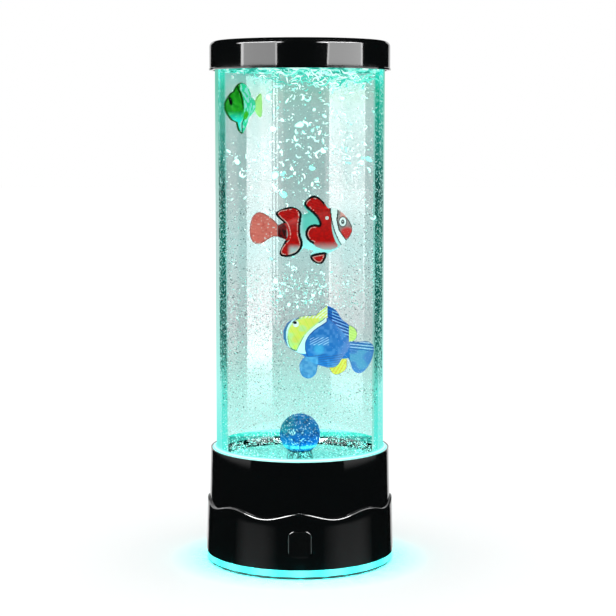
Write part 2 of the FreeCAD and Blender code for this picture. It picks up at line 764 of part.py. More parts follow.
def make_upper_shell():
    """The collar: skirt inside the lower shell, a deck for the tube, and a rim that slopes inward."""
    body = new_body("upper_shell_body")
    skirt = f"{LOWER_TOP_RADIUS} - shell_wall - slip_gap"
    foot = f"{SEAM} - 2 * wave_rise"
    turn_profile(body, [
        (UPPER_BORE, WEB_TOP),
        (skirt, WEB_TOP),
        (skirt, foot),
        (UPPER_FOOT_RADIUS, foot),
        (UPPER_FOOT_RADIUS, SEAM),
        (UPPER_RIM_RADIUS, RIM_TOP),
        (f"{UPPER_RIM_RADIUS} - rim_land", RIM_TOP),
        (UPPER_BORE, f"{RIM_TOP} - rim_slope"),
        (UPPER_BORE, DECK_TOP),
        (DECK_BORE, DECK_TOP),
        (DECK_BORE, DECK_BOTTOM),
        (UPPER_BORE, DECK_BOTTOM),
    ])
    column = sketch_on(body, "XY_Plane", "column_outline", WEB_TOP)
    ring(column, "column_radius", COLUMN_CIRCLE)
    repeat_around(body, pad(body, column, f"{DECK_BOTTOM} - {WEB_TOP} + glue_gap", "column"), "screw_count")
    pilot = sketch_on(body, "XY_Plane", "pilot_outline", WEB_TOP)
    ring(pilot, "screw_radius + pilot_gap", COLUMN_CIRCLE)
    repeat_around(body, pocket(body, pilot, "shell_screw_length", "pilot", upward=True), "screw_count")
    across, back = polar(LIGHT_SCREW_CIRCLE, 45)
    light_pilot = sketch_on(body, "XY_Plane", "light_pilot_outline", DECK_BOTTOM)
    ring(light_pilot, SMALL_PILOT, across, back)
    depth = "small_screw_length - board_thickness"
    repeat_around(body, pocket(body, light_pilot, depth, "light_pilot", upward=True), "screw_count")

    finish(cut(body, make_wave_tool(f"{skirt} + glue_gap")), "upper_shell")


# Water tube, floor and seals


def make_tube():
    """The clear tube, with lightly broken edges at both ends."""
    body = new_body("tube_body")
    turn_profile(body, [
        (TUBE_BORE, TUBE_BOTTOM),
        ("tube_radius", TUBE_BOTTOM),
        ("tube_radius", TUBE_TOP),
        (TUBE_BORE, TUBE_TOP),
    ])
    finish(body, "tube")


def make_tube_floor():
    """The clear floor glued into the tube: a flange under the wall and a plug inside it."""
    body = new_body("tube_floor_body")
    plug = f"{TUBE_BORE} - glue_gap"
    bore = "nozzle_stem_radius + glue_gap"
    turn_profile(body, [
        (bore, FLANGE_BOTTOM),
        ("tube_radius", FLANGE_BOTTOM),
        ("tube_radius", TUBE_BOTTOM),
        (plug, TUBE_BOTTOM),
        (plug, FLOOR),
        (bore, FLOOR),
    ])
    finish(body, "tube_floor")


def make_floor_gasket():
    """A flat foam ring between the floor and the deck."""
    body = new_body("floor_gasket_body")
    turn_profile(body, [
        ("tube_radius - gasket_width", DECK_TOP),
        ("tube_radius", DECK_TOP),
        ("tube_radius", FLANGE_BOTTOM),
        ("tube_radius - gasket_width", FLANGE_BOTTOM),
    ])
    finish(body, "floor_gasket")


def make_collar_seal():
    """A clear soft wedge ring between the tube and the rim; its top slopes up to the tube."""
    body = new_body("collar_seal_body")
    inner = "tube_radius + glue_gap"
    outer = f"{UPPER_BORE} - glue_gap"
    slope = f"(({UPPER_RIM_RADIUS} - rim_land - {UPPER_BORE}) / rim_slope)"
    turn_profile(body, [
        (inner, f"{RIM_TOP} - seal_depth"),
        (outer, f"{RIM_TOP} - seal_depth"),
        (outer, f"{RIM_TOP} - rim_slope"),
        (f"{outer} + (rim_slope - seal_drop) * {slope}", f"{RIM_TOP} - seal_drop"),
        (inner, f"{RIM_TOP} + seal_rise"),
    ])
    finish(body, "collar_seal")


# Lid


def make_lid():
    """A loose cap: a skirt outside the tube, a splash ring inside it, ribs and vents between them."""
    body = new_body("lid_body")
    splash_outer = f"({TUBE_BORE} - splash_ring_gap)"
    splash_inner = f"({splash_outer} - splash_ring_wall)"
    splash_bottom = f"({LID_UNDERSIDE} - splash_ring_depth)"
    bead_top = f"({LID_BOTTOM} + lid_bead_height)"
    turn_profile(body, [
        ("0", LID_UNDERSIDE),
        (splash_inner, LID_UNDERSIDE),
        (splash_inner, splash_bottom),
        (splash_outer, splash_bottom),
        (splash_outer, LID_UNDERSIDE),
        (f"{LID_RADIUS} - lid_wall", LID_UNDERSIDE),
        (f"{LID_RADIUS} - lid_wall", LID_BOTTOM),
        (f"{LID_RADIUS} + lid_bead", LID_BOTTOM),
        (f"{LID_RADIUS} + lid_bead", bead_top),
        (LID_RADIUS, f"{bead_top} + lid_bead"),
        (LID_RADIUS, LID_TOP),
        ("0", LID_TOP),
    ])
    round_body(body, "lid_round", rim_edge(LID_RADIUS, LID_TOP), "top_rounding")

    rib = sketch_on(body, "XY_Plane", "rib_outline", LID_BOTTOM)
    near = "tube_radius + slip_gap"
    far = f"{LID_RADIUS} - lid_wall / 2"
    outline(rib, [
        (near, "-lid_rib_width / 2"),
        (far, "-lid_rib_width / 2"),
        (far, "lid_rib_width / 2"),
        (near, "lid_rib_width / 2"),
    ])
    repeat_around(body, pad(body, rib, f"{LID_UNDERSIDE} - {LID_BOTTOM}", "rib"), "lid_rib_count")

    vent = sketch_on(body, "XY_Plane", "vent_outline", LID_UNDERSIDE)
    outline(vent, [
        (splash_outer, "lid_vent_width"),
        (f"{LID_RADIUS} - lid_wall", "lid_vent_width"),
        (f"{LID_RADIUS} - lid_wall", "2 * lid_vent_width"),
        (splash_outer, "2 * lid_vent_width"),
    ])
    repeat_around(body, pocket(body, vent, "lid_vent_depth", "vent", upward=True), "lid_vent_count")
    finish(body, "lid")


# Power button, its board and key switch


def rounded_button(width, height, corner, near, depth):
    """A block with round corners seen from the front; near is its inner end, depth its way out."""
    back = f"-({near}) - ({depth}) / 2"
    blank = block(width, depth, height, back=back, up=f"{BUTTON_AXIS} - ({height}) / 2")

    def along_y(edge):
        start = edge.valueAt(edge.FirstParameter)
        end = edge.valueAt(edge.LastParameter)
        return abs(end.y - start.y) > value(depth) / 2

    return round_edges(blank, corner, along_y)


def make_button():
    """The key cap: a face that follows the shell, a flange behind the wall and a stem to the switch."""
    inside = f"({WALL_AT_BUTTON} - shell_wall - button_flange_gap)"
    flange_back = f"({inside} - button_flange_thickness)"
    face = rounded_button("button_width", "button_height", "button_corner", flange_back, "4 * shell_wall")
    face_limit = cone(
        f"{LOWER_FOOT_RADIUS} + button_proud", f"{LOWER_TOP_RADIUS} + button_proud", "lower_height",
        up=RING_TOP,
    )
    cap = common(face, face_limit)
    flange = rounded_button(
        "button_width + 2 * button_flange", "button_height + 2 * button_flange_rise",
        "button_corner", flange_back, "4 * shell_wall",
    )
    flange_limit = cylinder(inside, "lower_height", up=RING_TOP)
    stem_length = f"{flange_back} - {PLUNGER_TIP}"
    stem = cylinder("button_stem_radius", stem_length, back=f"-({flange_back})", up=BUTTON_AXIS, axis="Y")
    whole = fuse(cap, common(flange, flange_limit), stem)
    face_radius = value(WALL_AT_BUTTON)

    def outer_edge(edge):
        box = edge.BoundBox
        depth = box.YMin + face_radius, box.YMax + face_radius
        return depth[0] < value("shell_wall") / 2 and depth[1] < 2 * value("shell_wall") / 3

    finish(round_edges(whole, "button_edge_round", outer_edge), "button")


def make_key_switch():
    """The button board with a push switch whose plunger travels with the button."""
    board = block(
        "button_board_width", "board_thickness", "button_board_height",
        back=f"-{BUTTON_BOARD_DEPTH} + board_thickness / 2", up=f"{BUTTON_AXIS} - button_board_height / 2",
    )
    holes = []
    for side in ("-1", "1"):
        across = f"({side}) * button_boss_spacing / 2"
        back = f"-{BUTTON_BOARD_DEPTH} - board_thickness"
        length = "3 * board_thickness"
        holes.append(cylinder("small_screw_radius + glue_gap", length, across, back, BUTTON_AXIS, "Y"))
    finish(cut(board, *holes), "button_board")

    case = block(
        "switch_side", "switch_depth", "switch_side",
        back=f"-{BUTTON_BOARD_DEPTH} - switch_depth / 2", up=f"{BUTTON_AXIS} - switch_side / 2",
    )
    well = cylinder(
        "plunger_radius + plunger_gap", "2 * button_travel + plunger_rest",
        back=f"-({SWITCH_FACE})", up=BUTTON_AXIS, axis="Y",
    )
    finish(cut(case, well), "key_switch")
    length = f"{PLUNGER_TIP} - {SWITCH_FACE} + button_travel"
    finish(
        cylinder("plunger_radius", length, back=f"-({PLUNGER_TIP})", up=BUTTON_AXIS, axis="Y"),
        "switch_plunger",
    )


# Control board with the power inlet


def make_control_board():
    """The main board on its two posts, with its chip, capacitors and wire sockets."""
    middle = f"{CONTROL_BOARD_FRONT} + control_board_length / 2"
    board = block(
        "control_board_width", "control_board_length", "board_thickness", back=middle, up=CONTROL_BOARD_BOTTOM
    )
    holes = []
    for side in ("-1", "1"):
        across = f"({side}) * board_post_spacing / 2"
        length = "3 * board_thickness"
        low = f"{CONTROL_BOARD_BOTTOM} - board_thickness"
        holes.append(cylinder("small_screw_radius + glue_gap", length, across, BOARD_POST_BACK, low))
    finish(cut(board, *holes), "control_board")

    chip_across = "-(inlet_width + chip_width + part_spacing) / 2"
    chip_back = f"{SOCKET_BACK} + socket_length / 2 + part_spacing + chip_length / 2"
    finish(
        block("chip_width", "chip_length", "chip_height", chip_across, chip_back, CONTROL_BOARD_TOP),
        "control_chip",
    )
    capacitors = []
    for side in ("-1", "1"):
        across = f"({side}) * (inlet_width / 2 + 2 * capacitor_radius)"
        back = f"{CONTROL_BOARD_FRONT} + control_board_length - 2 * capacitor_radius"
        capacitors.append(cylinder("capacitor_radius", "capacitor_height", across, back, CONTROL_BOARD_TOP))
    finish(group(capacitors), "capacitors")
    sockets = []
    for step in SOCKET_STEPS:
        across = f"({step}) * socket_spacing"
        sockets.append(
            block("socket_width", "socket_length", "socket_height", across, SOCKET_BACK, CONTROL_BOARD_TOP)
        )
    finish(group(sockets), "wire_sockets")


def make_power_inlet():
    """The round low-voltage inlet at the back: a block on the board with a snout into the shell."""
    face = INLET_FACE
    case = block(
        "inlet_width", "inlet_length", "inlet_height", back=f"{face} - inlet_length / 2", up=CONTROL_BOARD_TOP
    )
    snout_length = "inlet_wall_gap + inlet_reach"
    snout = cylinder("inlet_snout_radius", snout_length, back=face, up=INLET_AXIS, axis="Y")
    mouth = f"({face} + {snout_length})"
    bore = cylinder(
        "inlet_bore", "inlet_depth", back=f"{mouth} - inlet_depth", up=INLET_AXIS, axis="Y"
    )
    finish(cut(fuse(case, snout), bore), "power_inlet")
    pin_length = "inlet_pin_length - inlet_pin_radius"
    pin = cylinder(
        "inlet_pin_radius", pin_length, back=f"{mouth} - inlet_depth", up=INLET_AXIS, axis="Y"
    )
    tip = sphere("inlet_pin_radius", back=f"{mouth} - inlet_depth + {pin_length}", up=INLET_AXIS)
    finish(fuse(pin, tip), "inlet_pin")


# Light boards


def make_light_board():
    """The round board under the floor, notched for the columns, with a ring of lights on top."""
    disc = cylinder(LIGHT_BOARD_RADIUS, "board_thickness", up=LIGHT_BOARD_BOTTOM)
    low = f"{LIGHT_BOARD_BOTTOM} - board_thickness"
    tools = [cylinder("light_board_bore", "3 * board_thickness", up=low)]
    for angle in around("screw_count"):
        across, back = polar(COLUMN_CIRCLE, angle)
        tools.append(cylinder("column_radius + slip_gap", "3 * board_thickness", across, back, low))
        across, back = polar(LIGHT_SCREW_CIRCLE, angle + 45)
        tools.append(cylinder("small_screw_radius + glue_gap", "3 * board_thickness", across, back, low))
    finish(cut(disc, *tools), "light_board")
    finish(group(ring_of_blocks(
        "light_count", "light_circle", "light_side", "light_side", "light_height", DECK_BOTTOM
    )), "lights")


def make_ring_board():
    """The narrow board on the base plate, notched for the screw posts, that lights the ring."""
    blank = cylinder(RING_BOARD_OUTER, "board_thickness", up=PLATE_TOP)
    tools = [cylinder(RING_BOARD_INNER, "3 * board_thickness", up=f"{PLATE_TOP} - board_thickness")]
    for angle in around("screw_count", 45):
        across, back = polar(POST_CIRCLE, angle)
        low = f"{PLATE_TOP} - board_thickness"
        tools.append(cylinder("post_radius + slip_gap", "3 * board_thickness", across, back, low))
    finish(cut(blank, *tools), "ring_board")
    circle = f"{RING_BOARD_OUTER} - ring_light_depth / 2 - slip_gap"
    finish(group(ring_of_blocks(
        "ring_light_count", circle, "ring_light_depth", "ring_light_width", "ring_light_height",
        RING_BOARD_TOP, half_step=True,
    )), "ring_lights")


def ring_of_blocks(count, circle, radial, wide, height, up, half_step=False):
    """Small blocks on a circle, each with one face towards the axis."""
    blocks = []
    start = 180.0 / value(count) if half_step else 0.0
    for angle in around(count, start):
        item = DOCUMENT.addObject("Part::Box", "light")
        bind(item, "Length", radial)
        bind(item, "Width", wide)
        bind(item, "Height", height)
        inner = f"(({circle}) - ({radial}) / 2)"
        across = f"{inner} * cos({angle}) + ({wide}) / 2 * sin({angle})"
        back = f"{inner} * sin({angle}) - ({wide}) / 2 * cos({angle})"
        blocks.append(place(item, across, back, up, turn=angle))
    return blocks


# Air pump on its saddles

def make_pump():
    """Motor can, pump head with its spout, rubber sleeve and the strap that holds them down."""
    can = cylinder("motor_radius", "motor_length", "motor_end", PUMP_BACK, PUMP_AXIS, "X")
    boss = cylinder(
        "motor_boss_radius", "motor_boss_length", "motor_end - motor_boss_length", PUMP_BACK,
        PUMP_AXIS, "X",
    )
    finish(fuse(round_edges(can, "strap_thickness", end_circle("motor_end")), boss), "pump_motor")

    body = cylinder("head_radius", "head_length", HEAD_START, PUMP_BACK, PUMP_AXIS, "X")
    cover = cylinder("cover_radius", "cover_length", COVER_START, PUMP_BACK, PUMP_AXIS, "X")
    spout = cylinder("barb_radius", "pump_spout_length", COVER_END, PUMP_BACK, PUMP_AXIS, "X")
    finish(fuse(body, cover, spout), "pump_head")

    outer = cylinder(SLEEVE_RADIUS, "sleeve_length", SLEEVE_START, PUMP_BACK, PUMP_AXIS, "X")
    inner = cylinder(
        "motor_radius + glue_gap", "3 * sleeve_length", f"{SLEEVE_START} - sleeve_length",
        PUMP_BACK, PUMP_AXIS, "X",
    )
    finish(cut(outer, inner), "pump_sleeve")

    start = f"{STRAP_MIDDLE} - strap_width / 2"
    band = cylinder(
        f"{SLEEVE_RADIUS} + strap_thickness", "strap_width", start, PUMP_BACK, PUMP_AXIS, "X"
    )
    ears = block(
        "strap_width", f"2 * ({STRAP_REACH} + strap_post_radius)", "strap_thickness", STRAP_MIDDLE,
        PUMP_BACK, PUMP_AXIS,
    )
    hollow = cylinder(
        f"{SLEEVE_RADIUS} + glue_gap", "3 * strap_width", f"{start} - strap_width", PUMP_BACK,
        PUMP_AXIS, "X",
    )
    under = block(
        "3 * strap_width", f"4 * {SLEEVE_RADIUS}", f"2 * {SLEEVE_RADIUS}", STRAP_MIDDLE, PUMP_BACK,
        f"{PUMP_AXIS} - 2 * {SLEEVE_RADIUS}",
    )
    tools = [hollow, under]
    for side in ("-1", "1"):
        back = f"{PUMP_BACK} + ({side}) * {STRAP_REACH}"
        low = f"{PUMP_AXIS} - strap_thickness"
        tools.append(cylinder(SMALL_PILOT, "3 * strap_thickness", STRAP_MIDDLE, back, low))
    finish(cut(fuse(band, ears), *tools), "pump_strap")


def end_circle(across):
    """A test for circular edges in the plane square to X at a place."""
    wanted = value(across)

    def test(edge):
        return isinstance(edge.Curve, Part.Circle) and abs(edge.Curve.Center.x - wanted) < 0.01

    return test


# Air line, nozzle and stone


def make_check_valve():
    """A small one-way valve with a barb at each end, so that water can't run back to the pump."""
    back = "-air_line_front"
    body = cylinder("valve_radius", "valve_length / 2", VALVE_SIDE, back, AIR_LINE, "X")
    cap = cylinder(
        "valve_cap_radius", "valve_length / 2", f"{VALVE_SIDE} - valve_length / 2", back, AIR_LINE, "X"
    )
    barbs = cylinder(
        "barb_radius", "valve_length + 2 * barb_length", f"{VALVE_SIDE} - valve_length / 2 - barb_length",
        back, AIR_LINE, "X",
    )
    finish(fuse(body, cap, barbs), "check_valve")


def make_nozzle():
    """The air inlet through the floor: a foot inside, a nut below and an elbow for the hose."""
    foot = cone("nozzle_foot_radius", "nozzle_top_radius", "nozzle_foot_height", up=NOZZLE_FOOT)
    stem = cylinder("nozzle_stem_radius", f"{NOZZLE_FOOT} - {NOZZLE_BOTTOM}", up=NOZZLE_BOTTOM)
    seat = sphere("stone_radius + glue_gap", up=STONE_CENTRE)
    stone_bottom = f"({STONE_CENTRE} - stone_radius)"
    tip = cylinder("nozzle_tip_radius", f"{stone_bottom} - {NOZZLE_FOOT} + nozzle_tip_length", up=NOZZLE_FOOT)
    barb_reach = "nozzle_stem_radius + barb_length"
    barb = cylinder("barb_radius", barb_reach, back=f"-({barb_reach})", up=AIR_LINE, axis="Y")
    rise = cylinder("nozzle_bore", f"{stone_bottom} - {AIR_LINE} + 2 * nozzle_tip_length", up=AIR_LINE)
    inlet = cylinder("nozzle_bore", barb_reach, back=f"-({barb_reach})", up=AIR_LINE, axis="Y")
    finish(cut(fuse(cut(foot, seat), stem, tip, barb), rise, inlet), "air_nozzle")

    washer = cylinder("nozzle_foot_radius - slip_gap", "nozzle_washer", up=FLOOR)
    hole = cylinder("nozzle_stem_radius + glue_gap", "3 * nozzle_washer", up=f"{FLOOR} - nozzle_washer")
    finish(cut(washer, hole), "nozzle_washer")

    nut = DOCUMENT.addObject("Part::Prism", "hexagon")
    nut.Polygon = 6
    bind(nut, "Circumradius", "nut_across_flats / 2 / cos(30)")
    bind(nut, "Height", "nut_height")
    place(nut, up=f"{FLANGE_BOTTOM} - nut_height")
    thread = cylinder(
        "nozzle_stem_radius + pilot_gap", "3 * nut_height", up=f"{FLANGE_BOTTOM} - 2 * nut_height"
    )
    finish(cut(nut, thread), "nozzle_nut")

    ball = sphere("stone_radius", up=STONE_CENTRE)
    bore = cylinder(
        "stone_bore", "stone_bore_depth + stone_radius", up=f"{STONE_CENTRE} - 2 * stone_radius"
    )
    finish(cut(ball, bore), "air_stone")


def routed_path(points):
    """Straight runs joined by tangent arcs: each arc is as large as its two runs allow."""
    corners = [Vector(*point) for point in points]
    edges, start = [], corners[0]
    for before, corner, after in zip(corners, corners[1:], corners[2:]):
        inward, outward = before - corner, after - corner
        turn = math.pi - inward.getAngle(outward)
        trim = 0.45 * min(inward.Length, outward.Length)
        inward.normalize()
        outward.normalize()
        radius = trim / math.tan(turn / 2)
        halfway = inward + outward
        halfway.normalize()
        middle = corner + halfway * (radius / math.cos(turn / 2) - radius)
        enter, leave = corner + inward * trim, corner + outward * trim
        edges.append(Part.LineSegment(start, enter).toShape())
        edges.append(Part.Arc(enter, middle, leave).toShape())
        start = leave
    edges.append(Part.LineSegment(start, corners[-1]).toShape())
    return Part.Wire(edges)


def swept(path, radius):
    """A round section carried along a path."""
    start = path.Edges[0]
    begin = start.valueAt(start.FirstParameter)
    tangent = start.tangentAt(start.FirstParameter)
    section = Part.Wire([Part.makeCircle(radius, begin, tangent)])
    return path.makePipeShell([section], True, False)


def make_line(points, outer, bore, label):
    """A hose or wire along a route; a bore makes it hollow."""
    item = DOCUMENT.addObject("Part::Feature", label)
    path = routed_path([tuple(value(part) for part in point) for point in points])
    shape = swept(path, value(outer))
    if bore is not None:
        shape = shape.cut(swept(path, value(bore)))
    item.Shape = shape
    return finish(item, label)


def make_air_hoses():
    """Two soft hoses: nozzle elbow to valve, and valve to pump."""
    elbow = "nozzle_stem_radius + glue_gap"
    valve_left = f"{VALVE_SIDE} - valve_length / 2 - glue_gap"
    valve_right = f"{VALVE_SIDE} + valve_length / 2 + glue_gap"
    make_line([
        ("0", f"-({elbow})", AIR_LINE),
        ("0", "-air_line_front", AIR_LINE),
        (valve_left, "-air_line_front", AIR_LINE),
    ], "hose_radius", "hose_bore", "nozzle_hose")
    make_line([
        (valve_right, "-air_line_front", AIR_LINE),
        (AIR_LINE_SIDE, "-air_line_front", AIR_LINE),
        (AIR_LINE_SIDE, PUMP_BACK, AIR_LINE),
        (AIR_LINE_SIDE, PUMP_BACK, PUMP_AXIS),
        (f"{COVER_END} + glue_gap", PUMP_BACK, PUMP_AXIS),
    ], "hose_radius", "hose_bore", "pump_hose")


def make_wires():
    """Jacketed wire pairs from the control board's sockets to the pump, lights and button."""
    front = f"{SOCKET_BACK} - socket_length / 2"
    level = f"{CONTROL_BOARD_TOP} + socket_height / 2"
    gap = f"{CONTROL_BOARD_FRONT} + wire_radius"
    board_back = f"-{BUTTON_BOARD_DEPTH} + board_thickness"
    outer_left, inner_left, inner_right, outer_right = (f"({step}) * socket_spacing" for step in SOCKET_STEPS)
    make_line([
        (outer_left, front, level),
        (outer_left, gap, level),
        (outer_left, gap, WIRE_SHELF),
        ("motor_end - wire_margin", gap, WIRE_SHELF),
        ("motor_end - wire_margin", PUMP_BACK, PUMP_AXIS),
        ("motor_end - motor_boss_length", PUMP_BACK, PUMP_AXIS),
    ], "wire_radius", None, "pump_wires")
    make_line([
        (inner_right, front, level),
        (inner_right, gap, level),
        (inner_right, gap, LIGHT_BOARD_BOTTOM),
    ], "wire_radius", None, "light_wires")
    make_line([
        (inner_left, front, level),
        (inner_left, gap, level),
        (inner_left, gap, WIRE_BRIDGE),
        (inner_left, f"{board_back} + wire_margin", WIRE_BRIDGE),
        (inner_left, f"{board_back} + wire_margin", f"{BUTTON_AXIS} + wire_margin"),
        (inner_left, board_back, f"{BUTTON_AXIS} + wire_margin"),
    ], "wire_radius", None, "button_wires")
    make_line([
        (outer_right, front, level),
        (outer_right, gap, level),
        ("ring_wire_turn", gap, level),
        (RING_WIRE_SIDE, gap, f"{RING_BOARD_TOP} + ring_wire_rise"),
        (RING_WIRE_SIDE, gap, RING_BOARD_TOP),
    ], "wire_radius", None, "ring_wires")


# Screws: each set is one node of separate solids


def screw(head_radius, head_height, shank_radius, length, across, back, up, axis="Z"):
    """A screw with its head under the given point and its shank along the axis."""
    shift = {"Z": (across, back, f"{up} - ({head_height})"), "Y": (across, back, up)}[axis]
    head = cylinder(head_radius, head_height, *shift, axis=axis)
    start = half_sunk(shift, head_height, axis)
    return fuse(head, cylinder(shank_radius, f"{length} + ({head_height}) / 2", *start, axis=axis))


def half_sunk(shift, head_height, axis):
    """The shank starts in the middle of the head, so that the two are one piece."""
    across, back, up = shift
    if axis == "Z":
        return across, back, f"{up} + ({head_height}) / 2"
    return across, f"{back} + ({head_height}) / 2", up


def make_screws():
    base, shell, light = [], [], []
    for angle in around("screw_count", 45):
        across, back = polar(POST_CIRCLE, angle)
        base.append(screw(
            "screw_head_radius", "screw_head_height", "screw_radius",
            "base_screw_length + plate_thickness - screw_head_height - rest_gap",
            across, back, f"{PLATE_BOTTOM} + screw_head_height",
        ))
        across, back = polar(LIGHT_SCREW_CIRCLE, angle)
        light.append(screw(
            "small_head_radius", "small_head_height", "small_screw_radius",
            "small_screw_length - rest_gap", across, back, LIGHT_BOARD_BOTTOM,
        ))
    for angle in around("screw_count"):
        across, back = polar(COLUMN_CIRCLE, angle)
        shell.append(screw(
            "screw_head_radius", "screw_head_height", "screw_radius",
            "shell_screw_length + web_thickness - rest_gap", across, back, WEB_BOTTOM,
        ))
    finish(group(base), "base_screws")
    finish(group(shell), "shell_screws")
    finish(group(light), "light_board_screws")

    strap, board, button = [], [], []
    for side in ("-1", "1"):
        back = f"{PUMP_BACK} + ({side}) * {STRAP_REACH}"
        strap.append(plate_screw(STRAP_MIDDLE, back, f"{PUMP_AXIS} + strap_thickness", "strap_thickness"))
        across = f"({side}) * board_post_spacing / 2"
        board.append(plate_screw(across, BOARD_POST_BACK, CONTROL_BOARD_TOP, "board_thickness"))
        across = f"({side}) * button_boss_spacing / 2"
        face = f"-{BUTTON_BOARD_DEPTH} + board_thickness"
        head = cylinder("small_head_radius", "small_head_height", across, face, BUTTON_AXIS, "Y")
        length = "small_screw_length - rest_gap + small_head_height / 2"
        start = f"{face} - small_screw_length + rest_gap"
        shank = cylinder("small_screw_radius", length, across, start, BUTTON_AXIS, "Y")
        button.append(fuse(head, shank))
    finish(group(strap), "strap_screws")
    finish(group(board), "control_board_screws")
    finish(group(button), "button_board_screws")


def plate_screw(across, back, face, through):
    """A screw driven down through a plate into a post, with its head on the plate's face."""
    length = f"(small_screw_length + ({through}) - rest_gap)"
    whole = f"{length} + small_head_height / 2"
    head = cylinder("small_head_radius", "small_head_height", across, back, face)
    return fuse(head, cylinder("small_screw_radius", whole, across, back, f"{face} - {length}"))


# Toy fish: a swelling body and flat fins, moulded in one piece.
# Along, up and half heights are in hundredths of the fish's length, from its middle.

CLOWNFISH_SWELL = 0.4
CLOWNFISH_BODY = [
    (-23.4, -0.4, 5.1), (-12.9, 0.4, 9.8), (-5.1, -0.8, 14.1), (6.6, -0.4, 17.6), (18.4, -0.4, 20.7),
    (26.6, 0.0, 22.3), (34.8, 1.6, 19.5), (41.8, 2.3, 14.1), (47.3, 1.6, 7.8), (49.8, 1.2, 2.3),
]
CLOWNFISH_FINS = {
    "tail": [
        (-22.0, 4.7), (-30.1, 13.3), (-40.2, 18.0), (-47.3, 13.3), (-50.0, 0.8), (-48.0, -9.4),
        (-41.0, -13.3), (-28.5, -6.3), (-22.0, -4.7),
    ],
    "rear dorsal": [
        (-15.2, 7.0), (-24.6, 15.6), (-20.7, 20.3), (-9.8, 23.4), (-2.0, 20.3), (2.0, 13.3), (-5.0, 4.0),
    ],
    "anal": [
        (-12.9, -6.3), (-20.7, -20.3), (-19.1, -25.0), (-12.9, -25.8), (-5.1, -23.4), (2.0, -16.4),
        (-5.0, -5.5),
    ],
    "front dorsal": [
        (17.2, 10.2), (5.1, 20.3), (2.7, 25.8), (5.1, 29.7), (10.5, 34.0), (16.4, 33.2), (23.0, 27.3),
        (28.5, 21.1), (24.6, 11.7),
    ],
    "pelvic": [
        (12.9, -19.5), (9.0, -25.8), (12.1, -30.5), (17.6, -32.4), (21.5, -31.3), (25.4, -23.4),
        (23.0, -16.4),
    ],
}
BLUE_FISH_SWELL = 0.3
BLUE_FISH_BODY = [
    (-48.8, 7.0, 4.0), (-44.8, 7.0, 12.2), (-40.4, 6.5, 16.1), (-28.3, 6.0, 21.4), (-14.3, 1.3, 27.0),
    (-0.4, -1.7, 27.8), (10.9, -3.9, 24.8), (20.4, -4.3, 15.7), (26.0, -6.5, 7.4), (30.0, -8.0, 5.2),
]
BLUE_FISH_FINS = {
    "dorsal": [
        (-14.3, 24.0), (-10.9, 31.3), (-3.0, 37.8), (3.0, 37.4), (9.1, 33.0), (15.2, 23.5), (22.2, 17.4),
        (24.8, 7.0), (22.0, -1.7), (10.9, 7.0), (-3.9, 19.1),
    ],
    "rear tab": [(20.6, 17.3), (28.3, 14.8), (31.7, 8.7), (30.0, 1.7), (23.9, -0.9), (18.4, 7.0)],
    "tail": [
        (24.8, -1.7), (32.6, -0.9), (43.9, -0.9), (50.0, -7.8), (47.4, -20.9), (41.3, -31.3), (34.3, -35.7),
        (27.4, -32.2), (23.9, -22.6), (20.4, -13.9),
    ],
    "anal": [
        (1.3, -26.6), (3.9, -34.8), (10.0, -37.4), (18.7, -32.2), (20.9, -24.3), (18.7, -16.3), (8.3, -20.6),
    ],
    "pelvic": [
        (-22.8, -16.3), (-30.9, -25.2), (-29.1, -37.5), (-21.3, -41.5), (-14.3, -37.5), (-11.7, -29.6),
        (-12.3, -18.9),
    ],
}
GREEN_FISH_SWELL = 0.36
GREEN_FISH_BODY = [
    (-49.0, 0.0, 5.0), (-42.0, 0.0, 14.0), (-32.0, 0.0, 22.0), (-15.0, 0.0, 27.0), (5.0, 0.0, 24.0),
    (20.0, 1.0, 15.0), (30.0, 2.0, 8.0), (36.0, 2.0, 6.0),
]
GREEN_FISH_FINS = {
    "dorsal": [
        (-27.0, 18.0), (-18.0, 33.0), (-5.0, 38.0), (8.0, 34.0), (18.0, 22.0), (18.0, 10.0), (-10.0, 12.0),
    ],
    "ventral": [(-18.0, -18.0), (-14.0, -36.0), (-4.0, -43.0), (4.0, -36.0), (12.0, -18.0), (0.0, -10.0)],
    "tail": [
        (31.0, 6.0), (38.0, 16.0), (47.0, 21.0), (50.0, 4.0), (48.0, -15.0), (40.0, -14.0), (31.0, -3.0),
    ],
}


def fish_body(sections, swell, unit):
    """A smooth body through upright ellipses, along X."""
    wires = []
    for along, up, half in sections:
        centre = Vector(along * unit, 0, up * unit)
        top = centre + Vector(0, 0, half * unit)
        side = centre + Vector(0, half * swell * unit, 0)
        wires.append(Part.Wire([Part.Ellipse(top, side, centre).toShape()]))
    return Part.makeLoft(wires, True, False)


def fish_fin(points, thickness, unit):
    """A flat fin inside a smooth closed outline."""
    curve = Part.BSplineCurve()
    corners = [Vector(along * unit, -thickness / 2, up * unit) for along, up in points]
    curve.interpolate(Points=corners, PeriodicFlag=True)
    face = Part.Face(Part.Wire([curve.toShape()]))
    return face.extrude(Vector(0, thickness, 0))


def make_fish(label, sections, swell, fins, length, across, back, rise, turn="0"):
    """One toy fish, placed in the water; turn swings its nose towards the front."""
    unit = value(length) / 100.0
    shape = fish_body(sections, swell, unit)
    for points in fins.values():
        shape = shape.fuse(fish_fin(points, value("fin_thickness"), unit))
    item = DOCUMENT.addObject("Part::Feature", label)
    item.Shape = shape
    item.Placement = Placement(
        Vector(value(across), value(back), value(f"{FLOOR} + {rise}")), Rotation(AXES["Z"], value(turn))
    )
    return finish(item, label)


